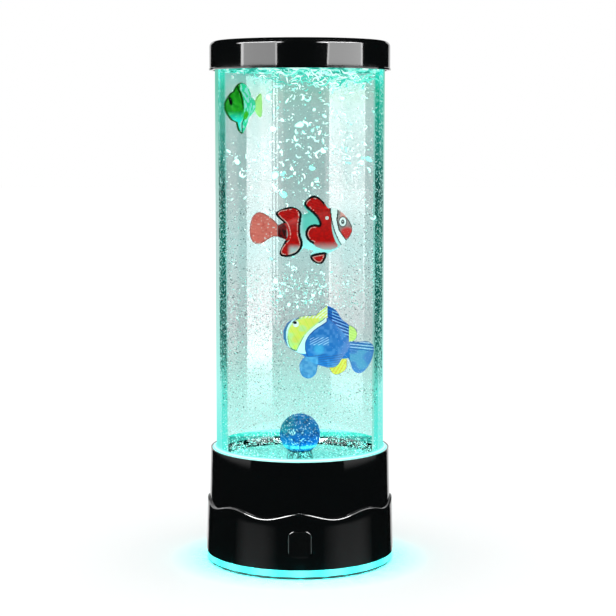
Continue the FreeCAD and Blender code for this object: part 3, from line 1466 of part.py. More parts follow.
def make_all_fish():
    make_fish(
        "clownfish", CLOWNFISH_BODY, CLOWNFISH_SWELL, CLOWNFISH_FINS,
        "clownfish_length", "clownfish_right", "clownfish_back", "clownfish_rise",
    )
    make_fish(
        "blue_fish", BLUE_FISH_BODY, BLUE_FISH_SWELL, BLUE_FISH_FINS,
        "blue_fish_length", BLUE_FISH_RIGHT, "blue_fish_back", "blue_fish_rise",
    )
    make_fish(
        "green_fish", GREEN_FISH_BODY, GREEN_FISH_SWELL, GREEN_FISH_FINS,
        "green_fish_length", GREEN_FISH_RIGHT, "green_fish_back", GREEN_FISH_RISE, "green_fish_turn",
    )


# Assembly and export


def build():
    make_feet()
    make_base_plate()
    make_light_ring()
    make_lower_shell()
    make_upper_shell()
    make_tube()
    make_tube_floor()
    make_floor_gasket()
    make_collar_seal()
    make_lid()
    make_button()
    make_key_switch()
    make_control_board()
    make_power_inlet()
    make_light_board()
    make_ring_board()
    make_pump()
    make_check_valve()
    make_nozzle()
    make_air_hoses()
    make_wires()
    make_screws()
    make_all_fish()
    DOCUMENT.recompute()


def check():
    """Stops on a failed object or a piece that isn't a valid closed solid."""
    failed = [item.Name for item in DOCUMENT.Objects if {"Invalid", "Error"} & set(item.State)]
    if failed:
        raise RuntimeError(f"failed objects: {failed}")
    for item in FINISHED:
        shape = item.Shape
        if shape.isNull() or not shape.isValid() or not shape.Solids:
            raise RuntimeError(f"{item.Label} has no valid solid")


def export():
    os.makedirs("parts", exist_ok=True)
    for item in FINISHED:
        item.Shape.exportStep(os.path.join("parts", f"{item.Label}.step"))
        print(f"{item.Label}: {len(item.Shape.Solids)} solid(s), {item.Shape.Volume:.1f} mm3")


build()
check()
export()
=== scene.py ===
# %% [markdown]
# # Bubble fish lamp: looks
#
# The CAD model gives the rigid pieces. This script dresses them: smooth copies with procedural
# materials for what shows, and new pieces for the painted fish, the porous stone, the water and
# its bubbles. Lengths in the tables are millimetres; meshes are written in metres.

import json
import math

import bmesh
import bpy
import numpy as np
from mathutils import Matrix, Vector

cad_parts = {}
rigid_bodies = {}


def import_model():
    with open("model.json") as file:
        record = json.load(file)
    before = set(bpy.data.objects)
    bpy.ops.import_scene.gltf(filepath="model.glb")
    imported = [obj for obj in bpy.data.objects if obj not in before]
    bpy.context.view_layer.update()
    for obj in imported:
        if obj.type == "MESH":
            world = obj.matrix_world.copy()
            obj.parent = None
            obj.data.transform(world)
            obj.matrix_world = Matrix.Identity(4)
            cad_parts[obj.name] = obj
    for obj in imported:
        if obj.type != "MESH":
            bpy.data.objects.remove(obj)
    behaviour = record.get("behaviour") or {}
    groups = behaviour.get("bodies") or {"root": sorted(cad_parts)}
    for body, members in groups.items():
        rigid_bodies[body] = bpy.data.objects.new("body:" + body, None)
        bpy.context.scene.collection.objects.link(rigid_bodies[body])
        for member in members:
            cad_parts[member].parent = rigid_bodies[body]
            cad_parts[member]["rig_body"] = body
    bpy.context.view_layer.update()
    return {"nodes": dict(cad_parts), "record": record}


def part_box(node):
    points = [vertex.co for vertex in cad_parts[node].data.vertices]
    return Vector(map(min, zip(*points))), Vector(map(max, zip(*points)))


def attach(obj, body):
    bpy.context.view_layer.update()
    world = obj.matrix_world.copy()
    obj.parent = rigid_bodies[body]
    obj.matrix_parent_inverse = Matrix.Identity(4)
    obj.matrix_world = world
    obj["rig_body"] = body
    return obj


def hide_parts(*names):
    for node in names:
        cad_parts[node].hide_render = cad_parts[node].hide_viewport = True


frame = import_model()
MM = 0.001

# %% [markdown]
# ## Sizes taken from the CAD model
#
# The tube, its floor and the stone are read from the frame, so that the water and the bubbles
# stay inside them when the CAD part changes. Only the tube's wall and the water level are given
# here, because a node's box doesn't tell them.

# %% Read the sizes


def reach(node):
    """The outer radius, lowest and highest height of a CAD node, in millimetres."""
    low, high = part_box(node)
    return high.x / MM, low.z / MM, high.z / MM


WALL = 3.0
WATER_LEVEL = 288.6
LAMP_HEIGHT = 300
TUBE_RADIUS, TUBE_BOTTOM, TUBE_TOP = reach("tube")
BORE = TUBE_RADIUS - WALL
FLOOR = reach("tube_floor")[2]
SEAL_TOP = reach("collar_seal")[2]
STONE_RADIUS, _, STONE_TOP = reach("air_stone")
STONE_CENTRE = STONE_TOP - STONE_RADIUS
print("tube", TUBE_RADIUS, TUBE_BOTTOM, TUBE_TOP, "floor", FLOOR, "stone", STONE_CENTRE, "seal", SEAL_TOP)

# %% [markdown]
# ## Making a mesh
#
# Every new piece is worked out as arrays of points and faces and then handed to Blender in one
# go. Colours that change over a piece are kept with its points, under the name paint.

# %% A mesh from arrays


def add_mesh(name, points, faces, body="base", smooth=True, paint=None):
    """A mesh piece from points in millimetres; paint gives each point a colour."""
    mesh = bpy.data.meshes.new(name)
    mesh.from_pydata((np.asarray(points, float) * MM).tolist(), [], [list(face) for face in faces])
    mesh.update()
    if paint is not None:
        colours = np.concatenate([np.asarray(paint, float), np.ones((len(paint), 1))], axis=1)
        layer = mesh.attributes.new(name="paint", type="FLOAT_COLOR", domain="POINT")
        layer.data.foreach_set("color", colours.astype(np.float32).ravel())
    mesh.polygons.foreach_set("use_smooth", [smooth] * len(mesh.polygons))
    item = bpy.data.objects.new(name, mesh)
    bpy.context.scene.collection.objects.link(item)
    if body is not None:
        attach(item, body)
    return item


def linear(*srgb):
    """Screen colours from 0 to 255 as linear values."""
    return tuple((v / 255 / 12.92) if v <= 10 else ((v / 255 + 0.055) / 1.055) ** 2.4 for v in srgb)


# %% [markdown]
# ## Smooth noise
#
# Waves, dents and grain need values that wander smoothly from place to place. Random numbers on
# the corners of a cubic lattice are blended between the eight corners around each point.

# %% Noise on points


def noise(points, cell, seed):
    """Smooth noise from 0 to 1 with lattice cells of one size."""
    table = np.random.default_rng(seed).random((32, 32, 32))
    scaled = np.asarray(points, float) / cell
    base = np.floor(scaled).astype(int)
    part = scaled - base
    part = part * part * (3 - 2 * part)
    total = np.zeros(len(scaled))
    for corner in range(8):
        step = np.array([corner & 1, corner >> 1 & 1, corner >> 2 & 1])
        weight = np.prod(np.where(step, part, 1 - part), axis=1)
        index = (base + step) % 32
        total += weight * table[index[:, 0], index[:, 1], index[:, 2]]
    return total


def flat_noise(where, cell, seed):
    """The same noise on flat places of along and up."""
    return noise(np.column_stack([where, np.zeros(len(where))]), cell, seed)


# %% [markdown]
# ## Grids and turned profiles
#
# Most surfaces are a grid of points bent into shape. Neighbours in the grid make a face, and
# where the grid closes on itself its first row or column is repeated at the end.

# %% Faces of a grid


def grid_faces(index):
    """Four-sided faces of a grid of point numbers: each number with its next row and column."""
    corners = [index[:-1, :-1], index[1:, :-1], index[1:, 1:], index[:-1, 1:]]
    return np.stack(corners, -1).reshape(-1, 4)


def lathe(profile, steps):
    """A closed profile turned about Z: x is radius times cosine, y is radius times sine."""
    angles = np.linspace(0, 2 * math.pi, steps, endpoint=False)
    radius, height = np.asarray(profile, float).T
    points = np.stack([
        np.outer(np.cos(angles), radius), np.outer(np.sin(angles), radius),
        np.broadcast_to(height, (steps, len(height))),
    ], axis=-1).reshape(-1, 3)
    index = np.arange(len(points)).reshape(steps, len(height))
    return points, grid_faces(np.pad(index, ((0, 1), (0, 1)), mode="wrap"))


# %% [markdown]
# ## Material helpers
#
# Every material is built from nodes. Small functions stand for the nodes that come up again and
# again, so that a material reads like a list of steps.

# %% Nodes as function calls


def node(tree, kind, inputs=None, **settings):
    """One shader node; inputs maps sockets to numbers, colours or other sockets."""
    made = tree.nodes.new("ShaderNode" + kind)
    for key, setting in settings.items():
        setattr(made, key, setting)
    for key, entry in (inputs or {}).items():
        if isinstance(entry, bpy.types.NodeSocket):
            tree.links.new(entry, made.inputs[key])
        else:
            made.inputs[key].default_value = entry
    return made


def new_material(name, **inputs):
    """A Principled material; keys are socket names with underscores for spaces."""
    made = bpy.data.materials.new(name)
    made.use_nodes = True
    shader = made.node_tree.nodes["Principled BSDF"]
    for key, entry in inputs.items():
        if key.endswith("Color") and len(entry) == 3:
            entry = (*entry, 1.0)
        shader.inputs[key.replace("_", " ")].default_value = entry
    return made, made.node_tree, shader


def calc(tree, operation, *terms, **settings):
    """A Math node on one, two or three numbers or sockets."""
    return node(tree, "Math", dict(enumerate(terms)), operation=operation, **settings).outputs[0]


def between(tree, factor, low=0.0, high=1.0, first=0.0, last=1.0):
    """first below low, last above high, and a straight line between them."""
    return node(tree, "MapRange", {0: factor, 1: low, 2: high, 3: first, 4: last}).outputs[0]


def ramp(tree, factor, stops):
    """A colour ramp with stops of position and colour."""
    made = node(tree, "ValToRGB", {0: factor})
    elements = made.color_ramp.elements
    while len(elements) < len(stops):
        elements.new(0.5)
    for element, (position, colour) in zip(elements, stops):
        element.position = position
        element.color = (*colour, 1.0)
    return made.outputs["Color"]


def shades(tree, factor, stops):
    """A colour ramp with stops of position and screen colour."""
    return ramp(tree, factor, [(position, linear(*colour)) for position, colour in stops])


def mix_colour(tree, factor, first, second):
    """One colour that turns into another as the factor goes from 0 to 1."""
    first, second = ((*entry, 1) if isinstance(entry, tuple) else entry for entry in (first, second))
    return node(tree, "Mix", {0: factor, 6: first, 7: second}, data_type="RGBA").outputs[2]


# %% [markdown]
# ## Patterns by place
#
# A pattern stays on its piece when it reads the piece's own Object coordinates, or the colours
# painted on its points. Grain is a noise texture; relief is the same noise on a Bump node.

# %% Places, grain and own light


def axes(tree):
    """The three Object coordinates of the shaded point."""
    place = node(tree, "TexCoord").outputs["Object"]
    return tuple(node(tree, "SeparateXYZ", {0: place}).outputs)


def axis_distance(tree):
    """Distance of the shaded point from the upright axis."""
    place = node(tree, "TexCoord").outputs["Object"]
    flat = node(tree, "VectorMath", {0: place, 1: (1, 1, 0)}, operation="MULTIPLY").outputs[0]
    return node(tree, "VectorMath", {0: flat}, operation="LENGTH").outputs["Value"]


def heights(tree, stops):
    """A colour by height above the table: stops of millimetres and screen colour."""
    share = between(tree, axes(tree)[2], 0.0, LAMP_HEIGHT * MM)
    return shades(tree, share, [(level / LAMP_HEIGHT, colour) for level, colour in stops])


def grain(tree, scale, detail=2.0, stretch=(1, 1, 1)):
    """A noise texture in Object coordinates, counted in cells per metre."""
    place = node(tree, "TexCoord").outputs["Object"]
    spread = node(tree, "Mapping", {"Vector": place, "Scale": stretch}).outputs["Vector"]
    return node(tree, "TexNoise", {"Vector": spread, "Scale": scale, "Detail": detail}).outputs["Fac"]


def bump(tree, shader, factor, depth, distance=0.0002):
    """Fine relief from a factor."""
    made = node(tree, "Bump", {"Strength": depth, "Distance": distance, "Height": factor})
    tree.links.new(made.outputs["Normal"], shader.inputs["Normal"])


def painted(tree):
    """The colour kept with the points."""
    return node(tree, "Attribute", attribute_name="paint").outputs["Color"]


def light_up(tree, shader, colour, strength, base=True):
    """A colour that shines by itself and, with base, is the surface's own colour too."""
    if base:
        tree.links.new(colour, shader.inputs["Base Color"])
    tree.links.new(colour, shader.inputs["Emission Color"])
    shader.inputs["Emission Strength"].default_value = strength


# %% [markdown]
# ## Black mouldings
#
# The shells, the lid and the button are gloss black plastic. What makes it read as plastic is
# not its colour but what it mirrors, so the colour is nearly black and smudges change the
# roughness a little. The button's rounded sides are painted paler: a painted highlight for the
# thin line of light they catch.

# %% Gloss black
BLACK_PLASTIC = (0.0022, 0.0028, 0.0030)
BUTTON_HALF = 6.5


def gloss_black(name, roughness=0.05):
    """Gloss black with faint smudges and grain."""
    made, tree, shader = new_material(name, Base_Color=BLACK_PLASTIC, Roughness=roughness)
    smudges = between(tree, grain(tree, 90), first=roughness * 0.7, last=roughness * 1.6)
    tree.links.new(smudges, shader.inputs["Roughness"])
    bump(tree, shader, grain(tree, 2600), 0.02)
    return made


def button_black():
    """The button's black, with a painted highlight: paler along its rounded side edges."""
    made = gloss_black("button_black", 0.12)
    tree = made.node_tree
    side = calc(tree, "ABSOLUTE", axes(tree)[0])
    # painted highlight: the side edges get a paler colour for the line of light they catch
    edge = between(tree, side, (BUTTON_HALF - 0.5) * MM, (BUTTON_HALF - 0.1) * MM)
    colour = ramp(tree, edge, [(0.0, BLACK_PLASTIC), (1.0, (0.09, 0.1, 0.1))])
    tree.links.new(colour, tree.nodes["Principled BSDF"].inputs["Base Color"])
    return made


MATERIALS = {name: gloss_black(name) for name in ("shell_black", "lid_black")}
MATERIALS["button_black"] = button_black()
print("black materials:", len(MATERIALS))

# %% [markdown]
# ## Foot ring
#
# The translucent ring is lit by the lamps behind it, so it is a little brighter in front of each
# of them. A cosine of sixteen times the angle about the axis gives sixteen soft spots.

# %% Glow of the ring
RING_SPOTS = 16.0


def glow_ring():
    """Light through the ring, between two cyans by the cosine of the angle times the spots."""
    made, tree, shader = new_material("glow_ring", Base_Color=(0.05, 0.3, 0.3), Roughness=0.3)
    x, y, _ = axes(tree)
    spots = calc(tree, "COSINE", calc(tree, "MULTIPLY", calc(tree, "ARCTAN2", x, y), RING_SPOTS))
    colour = shades(tree, between(tree, spots, -1.0), [(0.0, (74, 250, 246)), (1.0, (118, 255, 250))])
    light_up(tree, shader, colour, 1.0, base=False)
    return made


MATERIALS["glow_ring"] = glow_ring()
print("ring spots:", RING_SPOTS)

# %% [markdown]
# ## Plain inner materials
#
# Boards, metal cans, rubber and screws are hidden in the base, but a viewer may open the lamp.
# One function gives them all a fine grain in tone and in relief; the table holds each one's
# colour, roughness, metal share, grain scale and relief.

# %% Table of plain materials


def plain(name, colour, roughness, metallic=0.0, scale=900, depth=0.25):
    """A solid colour with fine grain in tone and relief."""
    made, tree, shader = new_material(name, Base_Color=colour, Roughness=roughness, Metallic=metallic)
    dark = tuple(0.82 * part for part in colour)
    bright = tuple(min(1.0, 1.12 * part) for part in colour)
    factor = grain(tree, scale)
    tree.links.new(ramp(tree, factor, [(0.3, dark), (0.7, bright)]), shader.inputs["Base Color"])
    bump(tree, shader, factor, depth, 0.0001)
    return made


for name, *values in [
    ("base_black", (0.012, 0.03, 0.03), 0.5),
    ("foot_rubber", (0.02, 0.02, 0.02), 0.8, 0.0, 1500),
    ("foam", (0.03, 0.03, 0.03), 0.9, 0.0, 2500, 0.6),
    ("board_green", (0.02, 0.16, 0.07), 0.35, 0.0, 400),
    ("board_white", (0.75, 0.75, 0.72), 0.4, 0.0, 400),
    ("light_chip", (0.85, 0.80, 0.45), 0.3),
    ("switch_black", (0.02, 0.02, 0.02), 0.45),
    ("socket_white", (0.70, 0.68, 0.62), 0.45),
    ("contact_metal", (0.70, 0.58, 0.32), 0.25, 1.0),
    ("can_metal", (0.62, 0.63, 0.64), 0.3, 1.0, 900, 0.1),
    ("pump_plastic", (0.06, 0.06, 0.065), 0.5),
    ("sleeve_rubber", (0.03, 0.03, 0.03), 0.85, 0.0, 1500),
    ("strap_metal", (0.55, 0.56, 0.57), 0.35, 1.0, 900, 0.1),
    ("valve_plastic", (0.70, 0.73, 0.76), 0.3),
    ("hose_clear", (0.62, 0.66, 0.66), 0.4),
    ("wire_jacket", (0.04, 0.04, 0.045), 0.6),
    ("screw_metal", (0.52, 0.53, 0.54), 0.3, 1.0, 900, 0.1),
]:
    MATERIALS[name] = plain(name, *values)
print("materials so far:", len(MATERIALS))

# %% [markdown]
# ## Clear tube
#
# A real acrylic tube bends and mirrors light in its wall, which takes many samples to render.
# Here the near side mirrors a little and lets the rest through. The far side, where the wall is
# seen at a slant, is painted as a glow with the light that runs in it: a bright line, a dark teal
# band of painted shade with specks and a pale border, which turn cyan low down and at the top.
# The slant is the shader's own facing value, 0 seen straight on and 1 seen edge on.

# %% Light in the wall of the tube
TUBE_IOR = 1.49
TUBE_GLOSS = 0.03
WALL_START, LINE_END, PALE_START = (0.506, 0.514), (0.524, 0.532), (0.712, 0.722)
LINE_SHIFT, PALE_SHIFT = -0.018, -0.11


def wall_band(tree, height):
    """The painted dark band of shade by height: dark specks at half height, bright ones everywhere."""
    band = heights(tree, [
        (66, (112, 242, 232)), (84, (124, 240, 230)), (101, (146, 246, 236)), (116, (104, 204, 190)),
        (130, (48, 140, 124)), (158, (28, 108, 94)), (187, (30, 114, 98)), (215, (18, 82, 72)),
        (244, (36, 150, 132)), (272, (46, 192, 164)), (282, (60, 242, 222)),
    ])
    fine = grain(tree, 1050, 1.0, (1, 1, 0.8))
    below, over = between(tree, height, 190 * MM, 150 * MM), between(tree, height, 96 * MM, 112 * MM)
    dark = calc(tree, "MULTIPLY", between(tree, fine, 0.485, 0.45), calc(tree, "MULTIPLY", below, over))
    band = mix_colour(tree, dark, band, (0.004, 0.09, 0.075))
    return mix_colour(tree, between(tree, fine, 0.575, 0.605), band, (0.52, 0.95, 0.89))


def wall_light(tree, facing):
    """Painted light and shade: line, band and pale border by slant; on the right at a larger slant."""
    x, _, z = axes(tree)
    right = calc(tree, "GREATER_THAN", x, 0.0)
    line, pale = (
        between(tree, calc(tree, "ADD", facing, calc(tree, "MULTIPLY", right, shift)), *limits)
        for shift, limits in ((LINE_SHIFT, LINE_END), (PALE_SHIFT, PALE_START))
    )
    colour = mix_colour(tree, line, (0.56, 0.86, 0.79), wall_band(tree, z))
    return mix_colour(tree, pale, colour, heights(tree, [
        (66, (118, 244, 232)), (100, (170, 250, 242)), (150, (184, 230, 222)), (190, (190, 216, 213)),
        (240, (160, 214, 200)), (275, (110, 200, 176)),
    ]))


def clear_tube():
    """Outer wall: a little mirror in front, the light in the wall behind painted as a glow; inner: clear."""
    made, tree, shader = new_material("clear_tube", Base_Color=(1, 1, 1), Metallic=1.0, Roughness=0.015)
    clear = node(tree, "BsdfTransparent", {"Color": (0.985, 1.0, 0.998, 1)}).outputs[0]
    outer = between(tree, axis_distance(tree), (TUBE_RADIUS - 0.6) * MM, (TUBE_RADIUS - 0.5) * MM)
    inside = node(tree, "NewGeometry").outputs["Backfacing"]
    facing = node(tree, "LayerWeight", {"Blend": 0.5}).outputs["Facing"]
    edge = node(tree, "Fresnel", {"IOR": TUBE_IOR}).outputs[0]
    near = calc(tree, "SUBTRACT", outer, inside, use_clamp=True)
    share = calc(tree, "MULTIPLY", calc(tree, "MULTIPLY", edge, near), TUBE_GLOSS)
    front = node(tree, "MixShader", {0: share, 1: clear, 2: shader.outputs[0]}).outputs[0]
    glow = node(tree, "Emission", {"Color": wall_light(tree, facing), "Strength": 1.0}).outputs[0]
    slanted = between(tree, facing, *WALL_START)
    tinted = node(tree, "MixShader", {0: slanted, 1: clear, 2: glow}).outputs[0]
    far = calc(tree, "MULTIPLY", outer, inside)
    whole = node(tree, "MixShader", {0: far, 1: front, 2: tinted})
    tree.links.new(whole.outputs[0], tree.nodes["Material Output"].inputs["Surface"])
    return made


MATERIALS["clear_tube"] = clear_tube()
print("tube wall lit from a slant of", WALL_START[0])

# %% [markdown]
# ## Seal, floor and pedestal
#
# The clear seal and floor catch the light from below, so they glow. The near half of the seal
# shows fine rings; behind, the rim of the floor is seen through it as a strip of dark and white
# specks, which slopes in the picture, so planes that come down towards the back cut it out.

# %% Lit clear pieces
SEAL_INNER, SEAL_OUTER = 48.6, 51.1


def glowing(name, colour, strength):
    """A lit translucent material whose glow comes from a colour function."""
    made, tree, shader = new_material(name, Base_Color=(0.1, 0.4, 0.4), Roughness=0.4)
    light_up(tree, shader, colour(tree), strength, base=False)
    return made


def above(tree, slope, level):
    """1 where height plus slope times depth is over the level."""
    _, y, z = axes(tree)
    height = calc(tree, "MULTIPLY_ADD", y, slope, z)
    return between(tree, height, level * MM, (level + 0.2) * MM)


def seal_rings(tree):
    """Rings by distance from the axis in front; specks under three sloping planes behind."""
    factor = between(tree, axis_distance(tree), SEAL_INNER * MM, SEAL_OUTER * MM)
    rings = shades(tree, factor, [
        (0.0, (60, 235, 220)), (0.18, (20, 120, 112)), (0.30, (150, 255, 246)), (0.55, (200, 250, 242)),
        (0.72, (30, 170, 160)), (0.86, (150, 244, 234)), (1.0, (30, 140, 130)),
    ])
    fine = grain(tree, 1300, 2.0, (1, 1, 1.6))
    dark = shades(tree, fine, [
        (0.49, (2, 26, 24)), (0.57, (14, 100, 90)), (0.65, (84, 214, 196)), (0.74, (246, 255, 252)),
    ])
    under = shades(tree, fine, [(0.42, (60, 190, 176)), (0.60, (190, 250, 242))])
    colour = mix_colour(tree, above(tree, 0.206, SEAL_TOP - 0.7), under, dark)
    colour = mix_colour(tree, above(tree, 0.15, SEAL_TOP + 2.7), colour, linear(66, 208, 188))
    colour = mix_colour(tree, above(tree, 0.14, SEAL_TOP + 4.6), colour, linear(226, 252, 246))
    return mix_colour(tree, between(tree, axes(tree)[1], 12 * MM, 16 * MM), rings, colour)


def floor_specks(tree):
    """Dark and white specks, drawn out towards the back."""
    return shades(tree, grain(tree, 1100, 3.0, (1, 0.35, 1)), [
        (0.39, (16, 110, 98)), (0.46, (86, 206, 190)), (0.53, (150, 236, 224)), (0.58, (255, 255, 252)),
    ])


def pedestal():
    """Dark plastic under the stone with bright specks of light."""
    made, tree, shader = new_material("nozzle_plastic", Roughness=0.35)
    specks = shades(tree, grain(tree, 1500, 2.0), [
        (0.40, (2, 30, 34)), (0.54, (6, 90, 96)), (0.66, (150, 250, 240)),
    ])
    light_up(tree, shader, specks, 0.25)
    return made


MATERIALS["seal_clear"] = glowing("seal_clear", seal_rings, 1.0)
MATERIALS["tube_floor"] = glowing("tube_floor", floor_specks, 0.5)
MATERIALS["nozzle_plastic"] = pedestal()
print("materials:", len(MATERIALS))

# %% [markdown]
# ## Smooth copies of the CAD pieces
#
# A CAD node is loose triangles, which look faceted. For what shows, a copy is made: its doubled
# points are merged, and only edges sharper than thirty degrees stay sharp. The copy stands for
# its CAD node. Inner pieces keep the CAD mesh and only take a material.

# %% A smooth copy
BODY_OF = {label: item["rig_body"] for label, item in frame["nodes"].items()}
SLOT_OF = {entry["node"]: entry["material_slot"] for entry in frame["record"]["subparts"]}
SHARP = math.radians(30)


def dress(label, material):
    """A smooth copy of a CAD node on its body, in place of the node."""
    mesh = frame["nodes"][label].data.copy()
    work = bmesh.new()
    work.from_mesh(mesh)
    bmesh.ops.remove_doubles(work, verts=work.verts, dist=1e-6)
    for edge in work.edges:
        edge.smooth = len(edge.link_faces) != 2 or edge.calc_face_angle(0) < SHARP
    for face in work.faces:
        face.smooth = True
    work.to_mesh(mesh)
    work.free()
    mesh.materials.clear()
    mesh.materials.append(material)
    item = bpy.data.objects.new(f"{label}_look", mesh)
    bpy.context.scene.collection.objects.link(item)
    even = item.modifiers.new("even_normals", "WEIGHTED_NORMAL")
    even.keep_sharp = True
    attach(item, BODY_OF[label])
    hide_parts(label)
    return item


# %% [markdown]
# ## Dressing the nodes
#
# The seal and the collar are kept out of mirror images, because their glowing rims would cut the
# pale strips that the far wall of the water mirrors.

# %% Copies and materials
SHOWN = [
    "lid", "upper_shell", "lower_shell", "base_plate", "light_ring", "button", "tube", "collar_seal",
    "air_nozzle", "rubber_feet",
]
REMADE = ("air_stone", "clownfish", "blue_fish", "green_fish", "tube_floor", *SHOWN)
for label in SHOWN:
    dress(label, MATERIALS[SLOT_OF[label]])
dress("tube_floor", MATERIALS["tube_floor"])
for label, item in frame["nodes"].items():
    if label not in REMADE:
        item.data.materials.clear()
        item.data.materials.append(MATERIALS[SLOT_OF[label]])
for label in ("collar_seal", "upper_shell"):
    bpy.data.objects[f"{label}_look"].visible_glossy = False
print("smooth copies:", len(SHOWN) + 1)

# %% [markdown]
# ## Outlines and distances
#
# A fish is drawn as closed curves through a few points, in hundredths of its length. For every
# point of a fine grid the signed distance to such a curve is found: the shortest distance to its
# segments, with a minus sign inside, where a ray crosses the curve an odd number of times.

# %% Curves and signed distance


def closed_curve(points, steps=8):
    """A smooth closed curve through points: between two of them each uses its neighbours' slope."""
    points = np.asarray(points, float)
    part = np.arange(steps)[:, None] / steps
    rows = []
    for index in range(len(points)):
        a, b, c, d = (points[(index + shift) % len(points)] for shift in (-1, 0, 1, 2))
        rows.append(0.5 * (
            2 * b + (c - a) * part + (2 * a - 5 * b + 4 * c - d) * part**2
            + (3 * b - a - 3 * c + d) * part**3
        ))
    return np.concatenate(rows)


def distance(where, curve):
    """Signed distance of each place to a closed curve, negative inside."""
    start, end = curve, np.roll(curve, -1, axis=0)
    along = end - start
    length = np.maximum((along**2).sum(1), 1e-9)
    nearest = np.full(len(where), 1e9)
    inside = np.zeros(len(where), bool)
    for a, b, step, size in zip(start, end, along, length):
        share = np.clip(((where - a) @ step) / size, 0, 1)
        gap = where - a - share[:, None] * step
        nearest = np.minimum(nearest, (gap**2).sum(1))
        if a[1] != b[1]:
            crosses = (a[1] > where[:, 1]) != (b[1] > where[:, 1])
            inside ^= crosses & (where[:, 0] < a[0] + (where[:, 1] - a[1]) / (b[1] - a[1]) * step[0])
    return np.where(inside, -1, 1) * np.sqrt(nearest)


def body_curve(sections):
    """The closed outline of a body: middle plus and minus half height, along its sections."""
    along, up, half = np.asarray(sections, float).T
    fine = np.linspace(along[0], along[-1], 90)
    middle, tall = np.interp(fine, along, up), np.interp(fine, along, half)
    return np.concatenate([
        np.stack([fine, middle + tall], 1), np.stack([fine, middle - tall], 1)[::-1],
    ])


# %% [markdown]
# ## The shape of the clownfish
#
# Body sections hold along, middle height and half height; fins are closed outlines. They are the
# same shapes as the CAD fish, so the look stays on the CAD form.

# %% Clownfish sections and fins
CLOWN_BODY = [
    (-23.4, -0.4, 5.1), (-12.9, 0.4, 9.8), (-5.1, -0.8, 14.1), (6.6, -0.4, 17.6), (18.4, -0.4, 20.7),
    (26.6, 0.0, 22.3), (34.8, 1.6, 19.5), (41.8, 2.3, 14.1), (47.3, 1.6, 7.8), (49.8, 1.2, 2.3),
]
CLOWN_FINS = {
    "tail": [
        (-22.0, 4.7), (-30.1, 13.3), (-40.2, 18.0), (-47.3, 13.3), (-50.0, 0.8), (-48.0, -9.4),
        (-41.0, -13.3), (-28.5, -6.3), (-22.0, -4.7),
    ],
    "rear dorsal": [
        (-15.2, 7.0), (-24.6, 15.6), (-20.7, 20.3), (-9.8, 23.4), (-2.0, 20.3), (2.0, 13.3), (-5.0, 4.0),
    ],
    "anal": [
        (-12.9, -6.3), (-20.7, -20.3), (-19.1, -25.0), (-12.9, -25.8), (-5.1, -23.4), (2.0, -16.4),
        (-5.0, -5.5),
    ],
    "front dorsal": [
        (17.2, 10.2), (5.1, 20.3), (2.7, 25.8), (5.1, 29.7), (10.5, 34.0), (16.4, 33.2), (23.0, 27.3),
        (28.5, 21.1), (24.6, 11.7),
    ],
    "pelvic": [
        (12.9, -19.5), (9.0, -25.8), (12.1, -30.5), (17.6, -32.4), (21.5, -31.3), (25.4, -23.4),
        (23.0, -16.4),
    ],
}
print("clownfish fins:", len(CLOWN_FINS))

# %% [markdown]
# ## The shapes of the blue and the green fish
#
# The blue fish looks left, so its tail is at the positive end. The green fish is short and tall.

# %% Blue and green sections and fins
BLUE_BODY = [
    (-48.8, 7.0, 4.0), (-44.8, 7.0, 12.2), (-40.4, 6.5, 16.1), (-28.3, 6.0, 21.4), (-14.3, 1.3, 27.0),
    (-0.4, -1.7, 27.8), (10.9, -3.9, 24.8), (20.4, -4.3, 15.7), (26.0, -6.5, 7.4), (30.0, -8.0, 5.2),
]
BLUE_FINS = {
    "dorsal": [
        (-14.3, 24.0), (-10.9, 31.3), (-3.0, 37.8), (3.0, 37.4), (9.1, 33.0), (15.2, 23.5), (22.2, 17.4),
        (24.8, 7.0), (22.0, -1.7), (10.9, 7.0), (-3.9, 19.1),
    ],
    "rear tab": [(20.6, 17.3), (28.3, 14.8), (31.7, 8.7), (30.0, 1.7), (23.9, -0.9), (18.4, 7.0)],
    "tail": [
        (24.8, -1.7), (32.6, -0.9), (43.9, -0.9), (50.0, -7.8), (47.4, -20.9), (41.3, -31.3), (34.3, -35.7),
        (27.4, -32.2), (23.9, -22.6), (20.4, -13.9),
    ],
    "anal": [
        (1.3, -26.6), (3.9, -34.8), (10.0, -37.4), (18.7, -32.2), (20.9, -24.3), (18.7, -16.3), (8.3, -20.6),
    ],
    "pelvic": [
        (-22.8, -16.3), (-30.9, -25.2), (-29.1, -37.5), (-21.3, -41.5), (-14.3, -37.5), (-11.7, -29.6),
        (-12.3, -18.9),
    ],
}
GREEN_BODY = [
    (-49.0, 0.0, 5.0), (-42.0, 0.0, 14.0), (-32.0, 0.0, 22.0), (-15.0, 0.0, 27.0), (5.0, 0.0, 24.0),
    (20.0, 1.0, 15.0), (30.0, 2.0, 8.0), (36.0, 2.0, 6.0),
]
GREEN_FINS = {
    "dorsal": [
        (-27.0, 18.0), (-18.0, 33.0), (-5.0, 38.0), (8.0, 34.0), (18.0, 22.0), (18.0, 10.0), (-10.0, 12.0),
    ],
    "ventral": [(-18.0, -18.0), (-14.0, -36.0), (-4.0, -43.0), (4.0, -36.0), (12.0, -18.0), (0.0, -10.0)],
    "tail": [
        (31.0, 6.0), (38.0, 16.0), (47.0, 21.0), (50.0, 4.0), (48.0, -15.0), (40.0, -14.0), (31.0, -3.0),
    ],
}
print("blue fish fins:", len(BLUE_FINS), "green fish fins:", len(GREEN_FINS))

# %% [markdown]
# ## Painting by layers
#
# Toy fish are printed, so their colours have crisp borders. A painter lays colours over each
# other, each with a weight per grid place: a region by distance or by place, soft or crisp, and
# noise for speckle. Colours with a part above 1 are screen colours, the others are linear.

# %% Layers of paint
BLACK, WHITE = linear(8, 8, 10), (0.92, 0.96, 0.95)


def soft(value, low, high):
    """0 below low, 1 above high, smooth between."""
    part = np.clip((value - low) / (high - low), 0, 1)
    return part * part * (3 - 2 * part)


